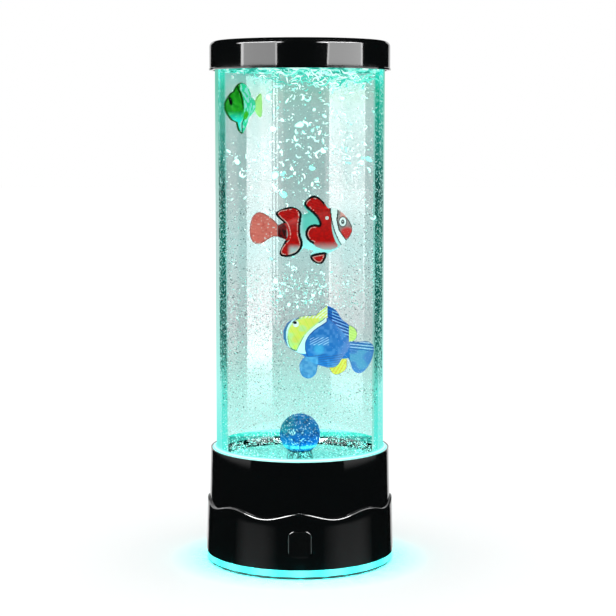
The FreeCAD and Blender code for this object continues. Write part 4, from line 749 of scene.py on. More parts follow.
def blend(base, colour, weight):
    """Paint a colour over another by a weight from 0 to 1."""
    weight = np.clip(np.asarray(weight, float), 0, 1)[:, None]
    return base * (1 - weight) + np.asarray(colour) * weight


def coats(colour, layers):
    """Layers of colour and weight over a first coat, one after the other."""
    for shade, weight in layers:
        colour = blend(colour, linear(*shade) if max(shade) > 1 else shade, weight)
    return colour


def first_coat(where, colour):
    """The same linear colour at every place."""
    return np.tile(np.asarray(colour), (len(where), 1))


# %% [markdown]
# ## Clownfish paint
#
# Two red bands with black borders and a thin pale line inside, a painted highlight, lie on a pale,
# slightly see-through body. The tail is salmon with speckle and painted white glints, the head grey
# behind a white stripe; the belly is painted cyan, painted light from the lamp below.

# %% The bands
REAR_BAND = closed_curve([
    (-24.6, 16.4), (-21.5, 21.1), (-12.9, 23.0), (-6.6, 23.6), (-2.0, 21.5), (0.2, 17.2), (0.0, 10.9),
    (-1.0, 3.9), (-0.6, -3.9), (1.3, -10.2), (1.0, -15.6), (-2.0, -20.7), (-5.9, -23.6), (-12.9, -25.6),
    (-19.5, -24.6), (-21.6, -20.3), (-19.8, -15.2), (-16.0, -10.5), (-13.5, -7.0), (-12.9, -2.3),
    (-14.1, 3.1), (-16.4, 7.2), (-20.7, 10.9),
])
FRONT_BAND = closed_curve([
    (3.1, 25.8), (4.9, 30.5), (10.5, 33.8), (16.0, 33.4), (21.9, 28.9), (25.8, 22.7), (29.9, 20.3),
    (29.5, 13.3), (29.7, 5.5), (30.9, -2.3), (33.6, -10.2), (35.9, -14.8), (30.1, -18.0), (22.3, -18.0),
    (15.2, -15.6), (12.5, -12.9), (7.4, -9.4), (4.5, -3.9), (5.1, 0.8), (8.0, 4.8), (12.9, 6.4),
    (17.7, 6.1), (17.2, 9.8), (13.7, 15.2), (7.4, 20.5),
])
PELVIC_RED = closed_curve([
    (8.8, -25.2), (14.1, -22.5), (24.6, -21.7), (22.4, -30.5), (17.6, -33.0), (12.1, -30.6),
])
RED, DARK_RED, SALMON = linear(198, 8, 6), linear(118, 6, 10), linear(226, 112, 100)
PALE_CYAN, SEA_CYAN = linear(180, 220, 218), linear(100, 202, 188)


def paint_band(colour, where, spots, band, fade, paler, highlight_end, ink_end):
    """A red region that fades at its foot, with a black border and a painted highlight, a pale line, inside.
    """
    along, up = where.T
    gap = distance(where, band)
    shade = blend(first_coat(where, RED), DARK_RED, 0.3 * soft(spots, 0.35, 0.75))
    keep = soft(along, -14, -9) if band is REAR_BAND else 1
    body = (1 - soft(gap, -0.2, 0.2)) * (1 - paler * (1 - soft(up, *fade)) * keep)
    # painted highlight: a thin pale line inside the border, only towards the front of a band
    line = (np.abs(gap + 2.6) < 0.35) & (along < highlight_end)
    inked = (gap > -2.1) & (gap < 0.3) & (along < ink_end)
    if band is REAR_BAND:
        inked &= (up > 7) | (along > -3) | (up < -9)
    if band is FRONT_BAND:
        inked &= (up > -3) | (along < 13)
    colour = blend(colour, shade, body)
    return coats(colour, [((240, 190, 180), line * 0.75 * (spots > 0.3)), (BLACK, inked)])


# %% [markdown]
# ## Clownfish head and body
#
# The borders of the white stripe are lines across the fish: for each height the place along is
# read from a few points. The eye is a set of ellipses inside each other.

# %% The painter of the clownfish


def paint_eye(colour, where, centre, size, ring, pupil):
    """An eye: a dark rim, a pale ring and a dark pupil with a glint."""
    gap = np.hypot((where[:, 0] - centre[0]) / size[0], (where[:, 1] - centre[1]) / size[1])
    colour = blend(colour, BLACK, 1 - soft(gap, 1.05, 1.2))
    colour = blend(colour, ring, 1 - soft(gap, 0.86, 0.98))
    colour = blend(colour, pupil, 1 - soft(gap, 0.42, 0.52))
    glint = np.hypot(where[:, 0] - centre[0] + 0.1, where[:, 1] - centre[1] - 0.4)
    return blend(colour, WHITE, 0.8 * (1 - soft(glint, 0.3, 0.75)))


def paint_clown_head(colour, where, rim):
    """White stripe, grey face with a red cheek, the eye, and a painted bubble glint, by place."""
    along, up = where.T
    neck = along - np.interp(up, [-16.4, -9.0, 0.0, 9.4, 20.3], [41.0, 36.6, 32.6, 30.0, 28.5])
    brow = along - np.interp(up, [-9.4, 0.8, 10.9, 18.8], [44.1, 37.1, 34.8, 35.9])
    face = brow > 0
    blush = 1 - soft(np.hypot((along - 44.8) / 1.2, up + 2.0), 3.6, 7.6)
    ring = np.hypot(along - 25.2, up - 12.7)
    colour = coats(colour, [
        (WHITE, (neck > 0) & (along > 28)),
        (BLACK, np.abs(neck) < 0.55),
        ((150, 132, 130), face),
        ((210, 48, 46), blush * face),
        ((226, 150, 140), face & (up > 11) & (along > 38)),
        (BLACK, np.abs(brow) < 0.6),
        ((44, 48, 50), (rim < 0.7) & (along > 44)),
        # painted highlight: a white ring for the glint of a bubble in front of the fish
        (WHITE, (ring < 1.6) & (ring > 0.7)),
    ])
    return paint_eye(colour, where, (40.6, 9.0), (3.6, 4.6), WHITE, linear(40, 52, 54))


def paint_clownfish(where, rim):
    """Body, belly of painted light, tail with painted glints and stalk by place, then bands and head."""
    along, up = where.T
    spots = flat_noise(where, 1.6, 3)
    belly_lamp_glow = (1 - soft(up, -13, -5)) * soft(along, -2, 1) * (1 - soft(along, 30, 38))
    tail = 1 - soft(along, -23.4, -22.6)
    stalk = soft(along, -23.2, -22.6) * (1 - soft(along, -14.5, -12.5)) * (np.abs(up) < 9)
    colour = coats(first_coat(where, PALE_CYAN), [
        (SEA_CYAN, soft(up, -6, 4) * soft(along, -2, 4) * (1 - soft(along, 20, 26))),
        # painted light: the belly is coloured cyan for the lamp's light from below
        ((0.42, 0.94, 0.92), belly_lamp_glow * (0.55 + 0.4 * soft(spots, 0.3, 0.7))),
        (SALMON, tail),
        ((150, 70, 66), tail * (1 - soft(rim, 0.5, 1.3)) * 0.7),
        # painted highlight: white glints speckle the tail
        (WHITE, tail * soft(spots, 0.86, 0.90) * 0.6),
        ((200, 60, 52), tail * soft(spots, 0.30, 0.10) * 0.5),
        (DARK_RED, stalk),
        (BLACK, stalk * soft(spots, 0.5, 0.62) * 0.9),
    ])
    for band, fade, paler, highlight_end, ink_end in (
        (REAR_BAND, (-19, -12), 0.75, 60, 60), (FRONT_BAND, (-20, -9), 0.5, 15, 23),
        (PELVIC_RED, (-60, -50), 0.75, 60, 60),
    ):
        colour = paint_band(colour, where, spots, band, fade, paler, highlight_end, ink_end)
    return paint_clown_head(colour, where, rim)


# %% [markdown]
# ## Blue fish paint
#
# The blue fish has a yellow face behind a blue brow, a pale band, a blue body and striped fins.
# Stripes are a sine of the distance across them, cut at a level.

# %% The painter of the blue fish
FACE = closed_curve([
    (-43.4, 0.0), (-44.0, 10.0), (-41.4, 17.0), (-36.2, 22.6), (-28.3, 25.8), (-14.3, 27.4), (-3.6, 26.4),
    (-5.8, 23.2), (-12.2, 19.0), (-20.2, 12.5), (-27.0, 4.6), (-31.2, -3.4), (-35.2, -10.6), (-41.0, -6.6),
])
BLUE_SIDE = closed_curve([
    (-2.2, 20.9), (-0.4, 25.2), (8.0, 19.0), (18.7, 7.0), (23.9, 1.7), (23.0, -7.0), (15.2, -19.1),
    (8.3, -28.3), (-3.0, -28.7), (-14.3, -26.1), (-22.2, -16.5), (-25.0, -5.2), (-22.2, 4.3),
    (-14.3, 13.0),
])
YELLOW, LIME = linear(234, 232, 96), linear(206, 232, 146)
ROYAL, SKY, DEEP = linear(40, 112, 192), linear(92, 156, 214), linear(16, 66, 152)
MAUVE = linear(104, 138, 200)


def stripes(where, angle, width):
    """Parallel bands at an angle: 0 to 1 across each."""
    turn = math.radians(angle)
    across = where[:, 0] * math.sin(turn) - where[:, 1] * math.cos(turn)
    return 0.5 + 0.5 * np.sin(2 * math.pi * across / width)


def paint_blue_fish(where, rim):
    """Regions by distance to the face and to the side, fins by place, and stripes."""
    along, up = where.T
    spots = flat_noise(where, 3.0, 5)
    side, face = distance(where, BLUE_SIDE), distance(where, FACE)
    pale = (side > 0) & (along < 0) & (up < 27) & (up > -14)
    body = side < 0
    fin = (along > -20) & (along < 1) & (up > -4) & (up < 5)
    dorsal = (side > 0) & (up > 0) & (along > -1)
    crest = (up > 25) & (along < -0.5)
    tab = (along > 22.5) & (up > -1)
    tail = (along > 23.5) & (up < 0)
    anal = (up < -19) & (along > 0) & (along < 23) & (side > 0)
    pelvic = (along < -11) & (up < -17)
    mouth = np.abs(up + 9.4 + 0.25 * (along + 38)) < 0.45
    return coats(first_coat(where, ROYAL), [
        ((58, 118, 160), along < -28),
        ((232, 248, 240), pale & (face > 0) & (along > -40)),
        (LIME, face < 0),
        (YELLOW, (face < -1.5) * soft(flat_noise(where, 7.0, 8), 0.3, 0.6)),
        ((240, 214, 60), (1 - soft(np.hypot(along + 35, up - 2), 2, 7)) * (face < 0) * 0.7),
        ((214, 244, 242), (np.abs(face - 0.8) < 0.9) & (along < -34) & (up > -8)),
        ((196, 214, 60), (face < 0) * soft(np.sin(along * 0.9 + up * 0.5), 0.7, 1.0) * 0.5),
        ((52, 84, 120), (np.abs(face) < 0.35) & (up > 20)),
        ((120, 130, 60), (np.abs(face) < 0.3) & (up < 6)),
        (SKY, body * soft(spots, 0.35, 0.8) * 0.55),
        (MAUVE, body * soft(along - up * 0.6, 14, 26) * 0.8),
        ((90, 190, 232), body * (1 - soft(np.hypot(along + 10, up + 8), 3, 8)) * 0.6),
        (DEEP, (np.abs(side) < 0.5) & (along < 12)),
        ((200, 232, 250), fin * (stripes(where, 28, 2.4) > 0.86) * 0.9),
        ((60, 80, 140), body & (up < -14) & (stripes(where, 8, 2.6) > 0.9)),
        (DEEP, dorsal & (stripes(where, -22, 3.0) < 0.5)),
        ((150, 205, 245), dorsal & (stripes(where, -22, 3.0) > 0.86) & (along > 4)),
        ((226, 236, 104), crest),
        (WHITE, crest & (stripes(where, 40, 2.6) > 0.75)),
        ((206, 232, 120), tab),
        ((78, 132, 196), tail),
        ((92, 160, 200), tail * soft(flat_noise(where, 9.0, 4), 0.5, 0.8)),
        ((48, 104, 176), tail & (up > -12) & (stripes(where, -6, 3.2) < 0.3)),
        ((214, 240, 250), tail & (up > -10) & (stripes(where, -6, 3.2) > 0.92)),
        ((240, 226, 96), anal),
        ((250, 196, 50), anal & (stripes(where, 60, 3.4) > 0.8)),
        ((78, 142, 200), pelvic),
        ((120, 180, 220), pelvic * soft(spots, 0.4, 0.8) * 0.6),
        ((34, 96, 180), (rim < 0.7) * 0.7 * (face > 0) * (~crest) * (~tab) * (~anal)),
        ((60, 70, 50), mouth & (along < -33)),
        ((60, 90, 130), (rim < 0.55) & (crest | tab | anal)),
        (WHITE, 1 - soft(np.hypot(along + 35.2, up - 18.9), 3.0, 3.5)),
        (BLACK, 1 - soft(np.hypot((along + 36.1) / 2.1, (up - 20.3) / 1.6), 0.9, 1.1)),
    ])


# %% [markdown]
# ## Green fish paint
#
# The tube's edge smears the green fish in the photograph, so only its main colours are painted:
# a green front, a teal middle with pale streaks, black marks and a lime tail.

# %% The painter of the green fish


def paint_green_fish(where, rim):
    """Regions by place and speckle by noise."""
    along, up = where.T
    spots = flat_noise(where, 4.0, 11)
    middle = soft(along, -12, -9) * (1 - soft(along, 28, 32))
    return coats(first_coat(where, linear(36, 176, 30)), [
        ((12, 140, 16), soft(spots, 0.35, 0.7)),
        ((40, 236, 220), 1 - soft(up, -26, -6)),
        ((52, 224, 170), middle),
        ((190, 255, 246), middle * soft(spots, 0.46, 0.6) * 0.7),
        ((60, 190, 30), middle * (1 - soft(np.hypot(along + 3, up + 14), 5, 9))),
        (BLACK, (np.abs(along + 13 + 0.12 * up) < 1.6) & (up > -4)),
        (BLACK, (np.abs(along + 6) < 1.4) & (up < -20)),
        ((196, 250, 150), soft(along, 27, 33)),
        ((20, 90, 24), (rim < 1.2) & (along < 20)),
        (BLACK, 1 - soft(np.hypot((along + 39.5) / 3.4, (up - 8.0) / 8.0), 0.8, 1.0)),
    ])


# %% [markdown]
# ## A grid that fits the fish
#
# A square grid gives an even mesh, but its edge would be a staircase. Grid points just outside or
# inside the outline are moved onto it, along the slope of the distance, so the edge is smooth.

# %% Grid of a fish
SPACING = 0.5
EDGE_REACH = 0.62
GRID_ALONG, GRID_UP = (-51, 51.5), (-44, 40.5)


def fish_grid(sections, fins):
    """Places, distance to the outline, and which lie on the edge or inside, with the grid's shape."""
    along, up = np.arange(*GRID_ALONG, SPACING), np.arange(*GRID_UP, SPACING)
    where = np.stack(np.meshgrid(along, up, indexing="ij"), -1).reshape(-1, 2)
    curves = [body_curve(sections), *[closed_curve(points) for points in fins.values()]]
    whole = np.min([distance(where, curve) for curve in curves], axis=0).reshape(len(along), len(up))
    slope = np.stack(np.gradient(whole, SPACING), -1).reshape(-1, 2)
    whole = whole.ravel()
    steep = np.maximum(np.hypot(*slope.T), 0.3)[:, None]
    edge = np.abs(whole) < SPACING * EDGE_REACH
    where = where - np.where(edge[:, None], whole[:, None] * slope / steep**2, 0)
    return where, whole, edge, edge | (whole < 0), (len(along), len(up))


# %% [markdown]
# ## How thick the fish is
#
# A moulded fish is plump in the body and thin in the fins. The half thickness is that of the
# body's ellipse or of a fin with fine ribs, whichever is larger, rounded off to nothing at the
# edge, where both sides meet.

# %% Thickness and faces of a fish
FIN_HALF, RIB_DEPTH, ROUNDING = 0.75, 0.12, 1.6


def fish_thickness(where, depth, edge, sections, swell, length):
    """Half thickness: tall times the root of 1 less height squared, or a fin, times a quarter round."""
    along, up, half = np.asarray(sections, float).T
    middle, tall = np.interp(where[:, 0], along, up), np.interp(where[:, 0], along, half)
    round_up = np.clip(1 - ((where[:, 1] - middle) / np.maximum(tall, 1e-6)) ** 2, 0, 1)
    ends = soft(where[:, 0], along[0] - 1, along[0] + 3) * (1 - soft(where[:, 0], along[-1] - 1.5, along[-1]))
    plump = tall * swell * np.sqrt(round_up) * ends
    ribs = RIB_DEPTH * np.sin(where[:, 1] * 2.2 + where[:, 0] * 0.7) * (plump < 0.8 * 100 / length)
    thin = (FIN_HALF + ribs) * 100 / length
    rounded = np.sqrt(np.clip(1 - (1 - np.clip(depth / ROUNDING, 0, 1)) ** 2, 0, 1))
    thick = np.maximum(plump, thin) * rounded
    thick[edge] = 0
    return thick


def fish_faces(kept, edge, shape):
    """Faces of both sides: squares and cut corners of the grid, the far side in reverse order."""
    inner = kept & ~edge
    index = np.full(len(kept), -1)
    index[kept] = np.arange(kept.sum())
    back = index.copy()
    back[inner] = kept.sum() + np.arange(inner.sum())
    quads = grid_faces(np.arange(len(kept)).reshape(shape))
    faces = []
    for quad in quads[kept[quads].sum(1) >= 3]:
        ring = [point for point in quad if kept[point]]
        if len(ring) == 3 and all(edge[point] for point in ring):
            continue
        faces.append([index[point] for point in ring])
        faces.append([back[point] for point in reversed(ring)])
    return faces


# %% [markdown]
# ## Building the fish
#
# The near side, the far side and the shared edge make one closed mesh, which is turned about Z
# and put where the CAD fish stands: at the middle of its box, less the middle of its outline.

# %% A whole fish


def fish_material(name):
    """Printed plastic under water: the painted colour, also given off faintly as painted light, with fine
    grain and hardly any gloss.
    """
    made, tree, shader = new_material(f"{name}_skin", Roughness=0.4, Specular_IOR_Level=0.05)
    # painted light: the fish give off their own colour faintly, to brighten them
    light_up(tree, shader, painted(tree), 0.3)
    bump(tree, shader, grain(tree, 1400), 0.15, 0.0001)
    return made


def fish_centre(node_name, sections, fins, length, turn):
    """Where the CAD fish stands: its box's middle, less the middle of its outline."""
    low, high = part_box(node_name)
    outline = np.concatenate([body_curve(sections), *[closed_curve(points) for points in fins.values()]])
    unit = length / 100
    angle = math.radians(turn)
    shift = (outline.max(0) + outline.min(0)) / 2 * unit
    middle = np.array((low + high) / 2) / MM
    return middle - np.array([shift[0] * math.cos(angle), shift[0] * math.sin(angle), shift[1]])


def build_fish(body, sections, fins, swell, painter, length, turn):
    """One fish: flat places plus and minus the half thickness, turned and moved to its centre."""
    where, whole, edge, kept, shape = fish_grid(sections, fins)
    depth = np.maximum(-np.where(edge, 0, whole), 0)
    thick = fish_thickness(where, depth, edge, sections, swell, length)
    paint = painter(where, depth)
    inner = kept & ~edge
    unit = length / 100
    flat = np.stack([where[:, 0], np.zeros(len(where)), where[:, 1]], 1) * unit
    swollen = np.outer(thick * unit, (0, 1, 0))
    points = np.concatenate([(flat - swollen)[kept], (flat + swollen)[inner]])
    angle = math.radians(turn)
    cos, sin = math.cos(angle), math.sin(angle)
    spin = np.array([[cos, -sin, 0], [sin, cos, 0], [0, 0, 1]])
    points = points @ spin.T + fish_centre(body, sections, fins, length, turn)
    name, faces = f"{body}_look", fish_faces(kept, edge, shape)
    item = add_mesh(name, points, faces, body, paint=np.concatenate([paint[kept], paint[inner]]))
    item.data.materials.append(fish_material(name))
    item.visible_glossy = False
    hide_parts(body)
    print(name, "points", len(points), "faces", len(faces))


# %% [markdown]
# ## The three fish
#
# Each row gives the shape, how plump the body is, the painter, the length and the turn.

# %% Put the fish in the water
for row in [
    ("clownfish", CLOWN_BODY, CLOWN_FINS, 0.40, paint_clownfish, 59.0, 0.0),
    ("blue_fish", BLUE_BODY, BLUE_FINS, 0.30, paint_blue_fish, 53.8, 0.0),
    ("green_fish", GREEN_BODY, GREEN_FINS, 0.36, paint_green_fish, 36.0, 55.0),
]:
    build_fish(*row)

# %% [markdown]
# ## The porous stone
#
# A ball of bonded grains: its radius varies with two scales of noise, and the colour runs from
# teal on the left through deep blue to a pale band low down, with many white grains. A ball of
# rings and two poles is enough, because the noise hides where the rings crowd together.

# %% A rough ball


def ball(rows, steps):
    """A unit ball: rings by polar angle and angle about Z, and one point at each pole."""
    polar = np.linspace(0, math.pi, rows + 1)[1:-1]
    turn = np.linspace(0, 2 * math.pi, steps, endpoint=False)
    ring = np.stack([
        np.outer(np.sin(polar), np.cos(turn)), np.outer(np.sin(polar), np.sin(turn)),
        np.outer(np.cos(polar), np.ones(steps)),
    ], -1).reshape(-1, 3)
    index = np.pad(np.arange(len(ring)).reshape(rows - 1, steps), ((0, 0), (0, 1)), mode="wrap")
    first, after = index[:, :-1], index[:, 1:]
    top = np.stack([np.full(steps, len(ring)), first[0], after[0]], 1)
    foot = np.stack([np.full(steps, len(ring) + 1), after[-1], first[-1]], 1)
    points = np.concatenate([ring, [[0, 0, 1], [0, 0, -1]]])
    return points, [*grid_faces(index), *np.stack([top, foot], 1).reshape(-1, 3)]


def stone_paint(points, fine, rough):
    """Colour by place on the unit ball and by both scales of noise, with painted shade towards its foot."""
    side, depth, up = points.T
    cluster = np.hypot(side + 0.38, up - 0.25) < 0.16
    colour = coats(first_coat(points, linear(4, 104, 172)), [
        ((6, 124, 196), soft(up, 0.3, 0.9) * 0.8),
        ((6, 132, 148), soft(-side, 0.0, 0.8) * 0.85),
        ((3, 66, 146), (1 - soft(np.abs(up + 0.15), 0.15, 0.4)) * 0.7),
        ((120, 206, 230), (1 - soft(np.abs(up + 0.56), 0.03, 0.12)) * 0.55),
        # painted shade: dark at the foot of the ball
        ((4, 60, 92), 1 - soft(up, -0.85, -0.68)),
        ((2, 30, 80), soft(rough, 0.55, 0.8) * 0.6),
        ((0.80, 0.95, 1.0), soft(fine, 0.74, 0.82) * 0.8),
        ((0.85, 1.0, 1.0), cluster * soft(fine, 0.42, 0.5) * (depth < 0) * 0.9),
    ])
    # painted shade: the lower part of the ball is darkened
    return colour * (0.25 + 0.75 * soft(up, -0.95, -0.45))[:, None]


def make_stone():
    """The ball times its radius less two scales of noise."""
    points, faces = ball(130, 200)
    fine = noise(points * STONE_RADIUS + 40, 0.55, 21)
    rough = noise(points * STONE_RADIUS + 40, 1.6, 22)
    radius = STONE_RADIUS * (1 - 0.03 * fine - 0.015 * rough)
    item = add_mesh(
        "air_stone_look", points * radius[:, None] + (0, 0, STONE_CENTRE), faces, "base",
        paint=stone_paint(points, fine, rough),
    )
    made, tree, shader = new_material("stone_blue", Roughness=0.7, Specular_IOR_Level=0.05)
    # painted light: the stone gives off its colour faintly
    light_up(tree, shader, painted(tree), 0.1)
    bump(tree, shader, grain(tree, 1800), 0.5, 0.0003)
    item.data.materials.append(made)
    item.visible_glossy = False
    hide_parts("air_stone")
    print("stone points", len(points))


make_stone()

# %% [markdown]
# ## Water
#
# The water is a closed body a hair inside the tube. Its near wall is clear. Its far wall tints
# what is behind it grey green, more cyan low down, and mirrors a little of what is in front,
# which gives the pale upright strips. Real refraction is left out: it needs many samples.

# %% A body of tinted water
WATER_GAP, FLOOR_GAP = 0.06, 0.05
MIRROR_SHARES = 0.11, 0.3


def water_material():
    """Far wall: a tint by height and a share of mirror, none at a slant; near wall: clear."""
    made, tree, shader = new_material("water", Base_Color=(1, 0.63, 0.66), Metallic=1.0, Roughness=0.02)
    behind = node(tree, "BsdfTransparent", {"Color": heights(tree, [
        (60, (204, 254, 250)), (96, (184, 238, 231)), (112, (185, 222, 217)), (134, (191, 210, 210)),
        (158, (198, 228, 226)), (177, (193, 235, 233)), (210, (182, 216, 213)), (232, (180, 218, 215)),
        (262, (179, 224, 218)), (271, (172, 222, 210)), (279, (160, 228, 216)), (287, (130, 226, 214)),
    ])}).outputs[0]
    facing = node(tree, "LayerWeight", {"Blend": 0.5}).outputs["Facing"]
    share = between(tree, axes(tree)[2], 100 * MM, 158 * MM, *MIRROR_SHARES)
    share = between(tree, facing, 0.60, 0.70, share, 0.0)
    far = node(tree, "MixShader", {0: share, 1: behind, 2: shader.outputs[0]}).outputs[0]
    near = node(tree, "BsdfTransparent", {"Color": (1, 1, 1, 1)}).outputs[0]
    inner = node(tree, "NewGeometry").outputs["Backfacing"]
    whole = node(tree, "MixShader", {0: inner, 1: near, 2: far})
    tree.links.new(whole.outputs[0], tree.nodes["Material Output"].inputs["Surface"])
    return made


def make_water():
    """A turned profile: floor, wall in forty levels, surface."""
    levels = np.linspace(FLOOR + FLOOR_GAP, WATER_LEVEL, 40)
    wall = [(BORE - WATER_GAP, level) for level in levels]
    points, faces = lathe([(0.001, levels[0]), *wall, (0.001, levels[-1])], 160)
    add_mesh("water", points, faces).data.materials.append(water_material())
    print("water from", levels[0], "to", levels[-1])


make_water()

# %% [markdown]
# ## Shapes of bubbles
#
# A family of bubbles is one mesh of many small closed shapes, so each shape has few faces. Round
# ones start from an octahedron, whose triangles are split and pushed out onto the ball.

# %% Small balls


def small_ball(level):
    """A ball from an octahedron, split level times: points and faces."""
    points = [(1, 0, 0), (-1, 0, 0), (0, 1, 0), (0, -1, 0), (0, 0, 1), (0, 0, -1)]
    points = [np.array(point, float) for point in points]
    faces = [(0, 2, 4), (2, 1, 4), (1, 3, 4), (3, 0, 4), (2, 0, 5), (1, 2, 5), (3, 1, 5), (0, 3, 5)]
    for _ in range(level):
        middle, split = {}, []
        for face in faces:
            new = []
            for a, b in zip(face, face[1:] + face[:1]):
                key = (min(a, b), max(a, b))
                if key not in middle:
                    point = points[a] + points[b]
                    points.append(point / np.linalg.norm(point))
                    middle[key] = len(points) - 1
                new.append(middle[key])
            a, b, c = face
            ab, bc, ca = new
            split += [(a, ab, ca), (ab, b, bc), (ca, bc, c), (ab, bc, ca)]
        faces = split
    return np.array(points), np.array(faces)


# %% [markdown]
# ## Foam
#
# Foam shows as bright curved rims and, under the surface, as long ripples. Both are bars along a
# line: rings of four points across the line, thinner towards the ends, and a point at each end.

# %% Bars, curls and ripples


def bar(line, girth, sides=4):
    """A bar along a flat line: line plus width times cosine across and sine upwards."""
    ahead = np.gradient(line, axis=0)
    ahead /= np.linalg.norm(ahead, axis=1)[:, None]
    across = np.stack([-ahead[:, 1], ahead[:, 0], 0 * ahead[:, 0]], 1)[1:-1, None]
    width = girth * np.sqrt(np.sin(math.pi * np.linspace(0, 1, len(line))[1:-1]))[:, None, None]
    turn = (2 * math.pi * np.arange(sides) / sides)[:, None]
    rings = line[1:-1, None] + width * (np.cos(turn) * across + np.sin(turn) * np.array([0, 0, 1]))
    count = (len(line) - 2) * sides
    index = np.pad(np.arange(count).reshape(-1, sides), ((0, 0), (0, 1)), mode="wrap")
    quads = grid_faces(index)
    skin = np.stack([quads[:, [0, 3, 2]], quads[:, [0, 2, 1]]], 1).reshape(-1, 3)
    start = np.stack([np.full(sides, count), index[0, 1:], index[0, :-1]], 1)
    end = np.stack([np.full(sides, count + 1), index[-1, :-1], index[-1, 1:]], 1)
    points = np.concatenate([rings.reshape(-1, 3), line[[0, -1]]])
    return points, np.concatenate([skin, np.stack([start, end], 1).reshape(-1, 3)])


def curl(spread, girth):
    """A bar along part of a circle: 0.8 times cosine and sine of the angle."""
    angle = np.linspace(-spread / 2, spread / 2, 9)
    return bar(np.stack([np.cos(angle), np.sin(angle), 0 * angle], 1) * 0.8, girth)


def ripple(rise, girth):
    """A bar along a wave: rise times the sine of the place along it."""
    along = np.linspace(-1, 1, 11)
    return bar(np.stack([along, rise * np.sin(4.4 * along + 0.6), 0 * along], 1), girth)


# %% [markdown]
# ## Places and turns of bubbles
#
# Centres are spread evenly in a ring, which needs the root of an even random number for the
# radius. They keep clear of the fish, as seen from the front, so that the painted sides show.

# %% Random places and turns


def turns_of(rng, count, upright=False):
    """Random turns as matrices, from random unit quaternions; upright keeps flat shapes facing front."""
    w, x, y, z = rng.normal(size=(4, count))
    if upright:
        x, y, z, w = 1 + 0.25 * x, 0.3 * y, 0.3 * z, 1 + 0.1 * w
    size = np.sqrt(w * w + x * x + y * y + z * z)
    w, x, y, z = w / size, x / size, y / size, z / size
    return np.stack([
        np.stack([1 - 2 * (y * y + z * z), 2 * (x * y - z * w), 2 * (x * z + y * w)], -1),
        np.stack([2 * (x * y + z * w), 1 - 2 * (x * x + z * z), 2 * (y * z - x * w)], -1),
        np.stack([2 * (x * z - y * w), 2 * (y * z + x * w), 1 - 2 * (x * x + y * y)], -1),
    ], 1)


def clear_of_fish(centres, margin):
    """True for centres that don't hide a fish or the stone from the front or touch one."""
    free = np.ones(len(centres), bool)
    flat = centres[:, [0, 2]]
    for label in ("clownfish", "blue_fish", "green_fish"):
        low, high = (np.array(corner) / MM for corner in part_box(label))
        inside = np.all((flat > low[[0, 2]] - margin) & (flat < high[[0, 2]] + margin), 1)
        free &= ~(inside & (centres[:, 1] < high[1] + margin))
    stone = np.hypot(centres[:, 0], centres[:, 2] - STONE_CENTRE)
    return free & ~((stone < STONE_RADIUS + margin) & (centres[:, 1] < STONE_RADIUS + margin))


def scatter(rng, count, low, high, inner, outer):
    """Random centres in a tall ring, evenly by area."""
    radius = np.sqrt(rng.uniform((inner / outer) ** 2, 1, count)) * outer
    angle = rng.uniform(0, 2 * math.pi, count)
    return np.stack([radius * np.cos(angle), radius * np.sin(angle), rng.uniform(low, high, count)], 1)


# %% [markdown]
# ## Coats of bubbles
#
# A bubble in lit water has a bright middle and a tinted rim; here that light is painted as a glow
# of the bubble's own. The tone of each bubble is kept with its points, and the rim's tint comes in
# by the facing value. Large ones let some light through.

# %% Materials and tones


def bubble_material(name, strength, rim_colour, cover=1.0):
    """Bubbles with painted light: a glowing bright middle and a tinted rim, after the angle to the view."""
    made, tree, shader = new_material(name, Roughness=0.12, Alpha=cover)
    facing = node(tree, "LayerWeight", {"Blend": 0.4}).outputs["Facing"]
    colour = mix_colour(tree, between(tree, facing, 0.25, 0.8), painted(tree), linear(*rim_colour))
    light_up(tree, shader, colour, strength)
    return made


BRIGHT = bubble_material("bubble_bright", 0.7, (120, 226, 210), 0.7)
FOAM = bubble_material("bubble_foam", 0.7, (104, 220, 202), 0.9)
FINE = bubble_material("bubble_fine", 0.6, (110, 220, 206))
DARK = bubble_material("bubble_dark", 0.0, (2, 50, 60))
PALE_TONES = [linear(250, 255, 254), linear(236, 255, 252), linear(176, 250, 240)]
WAVE_TONES = [linear(255, 255, 255), linear(206, 250, 242), linear(120, 224, 208), linear(40, 190, 172)]
FOAM_TONES = [linear(255, 255, 255), linear(250, 255, 254), linear(226, 255, 250)]
MIXED_TONES = [linear(250, 255, 254), linear(220, 255, 248), linear(140, 236, 222), linear(60, 150, 138)]
DARK_TONES = [linear(20, 70, 66), linear(60, 120, 114)]
print("bubble coats:", [coat.name for coat in (BRIGHT, FOAM, FINE, DARK)])

# %% [markdown]
# ## One family, one mesh
#
# All bubbles of a family are worked out in one array: bubble by point by coordinate. Each is
# stretched, dented, turned, sized and moved, and kept inside the wall.

# %% A family of bubbles
WALL_GAP = 0.3


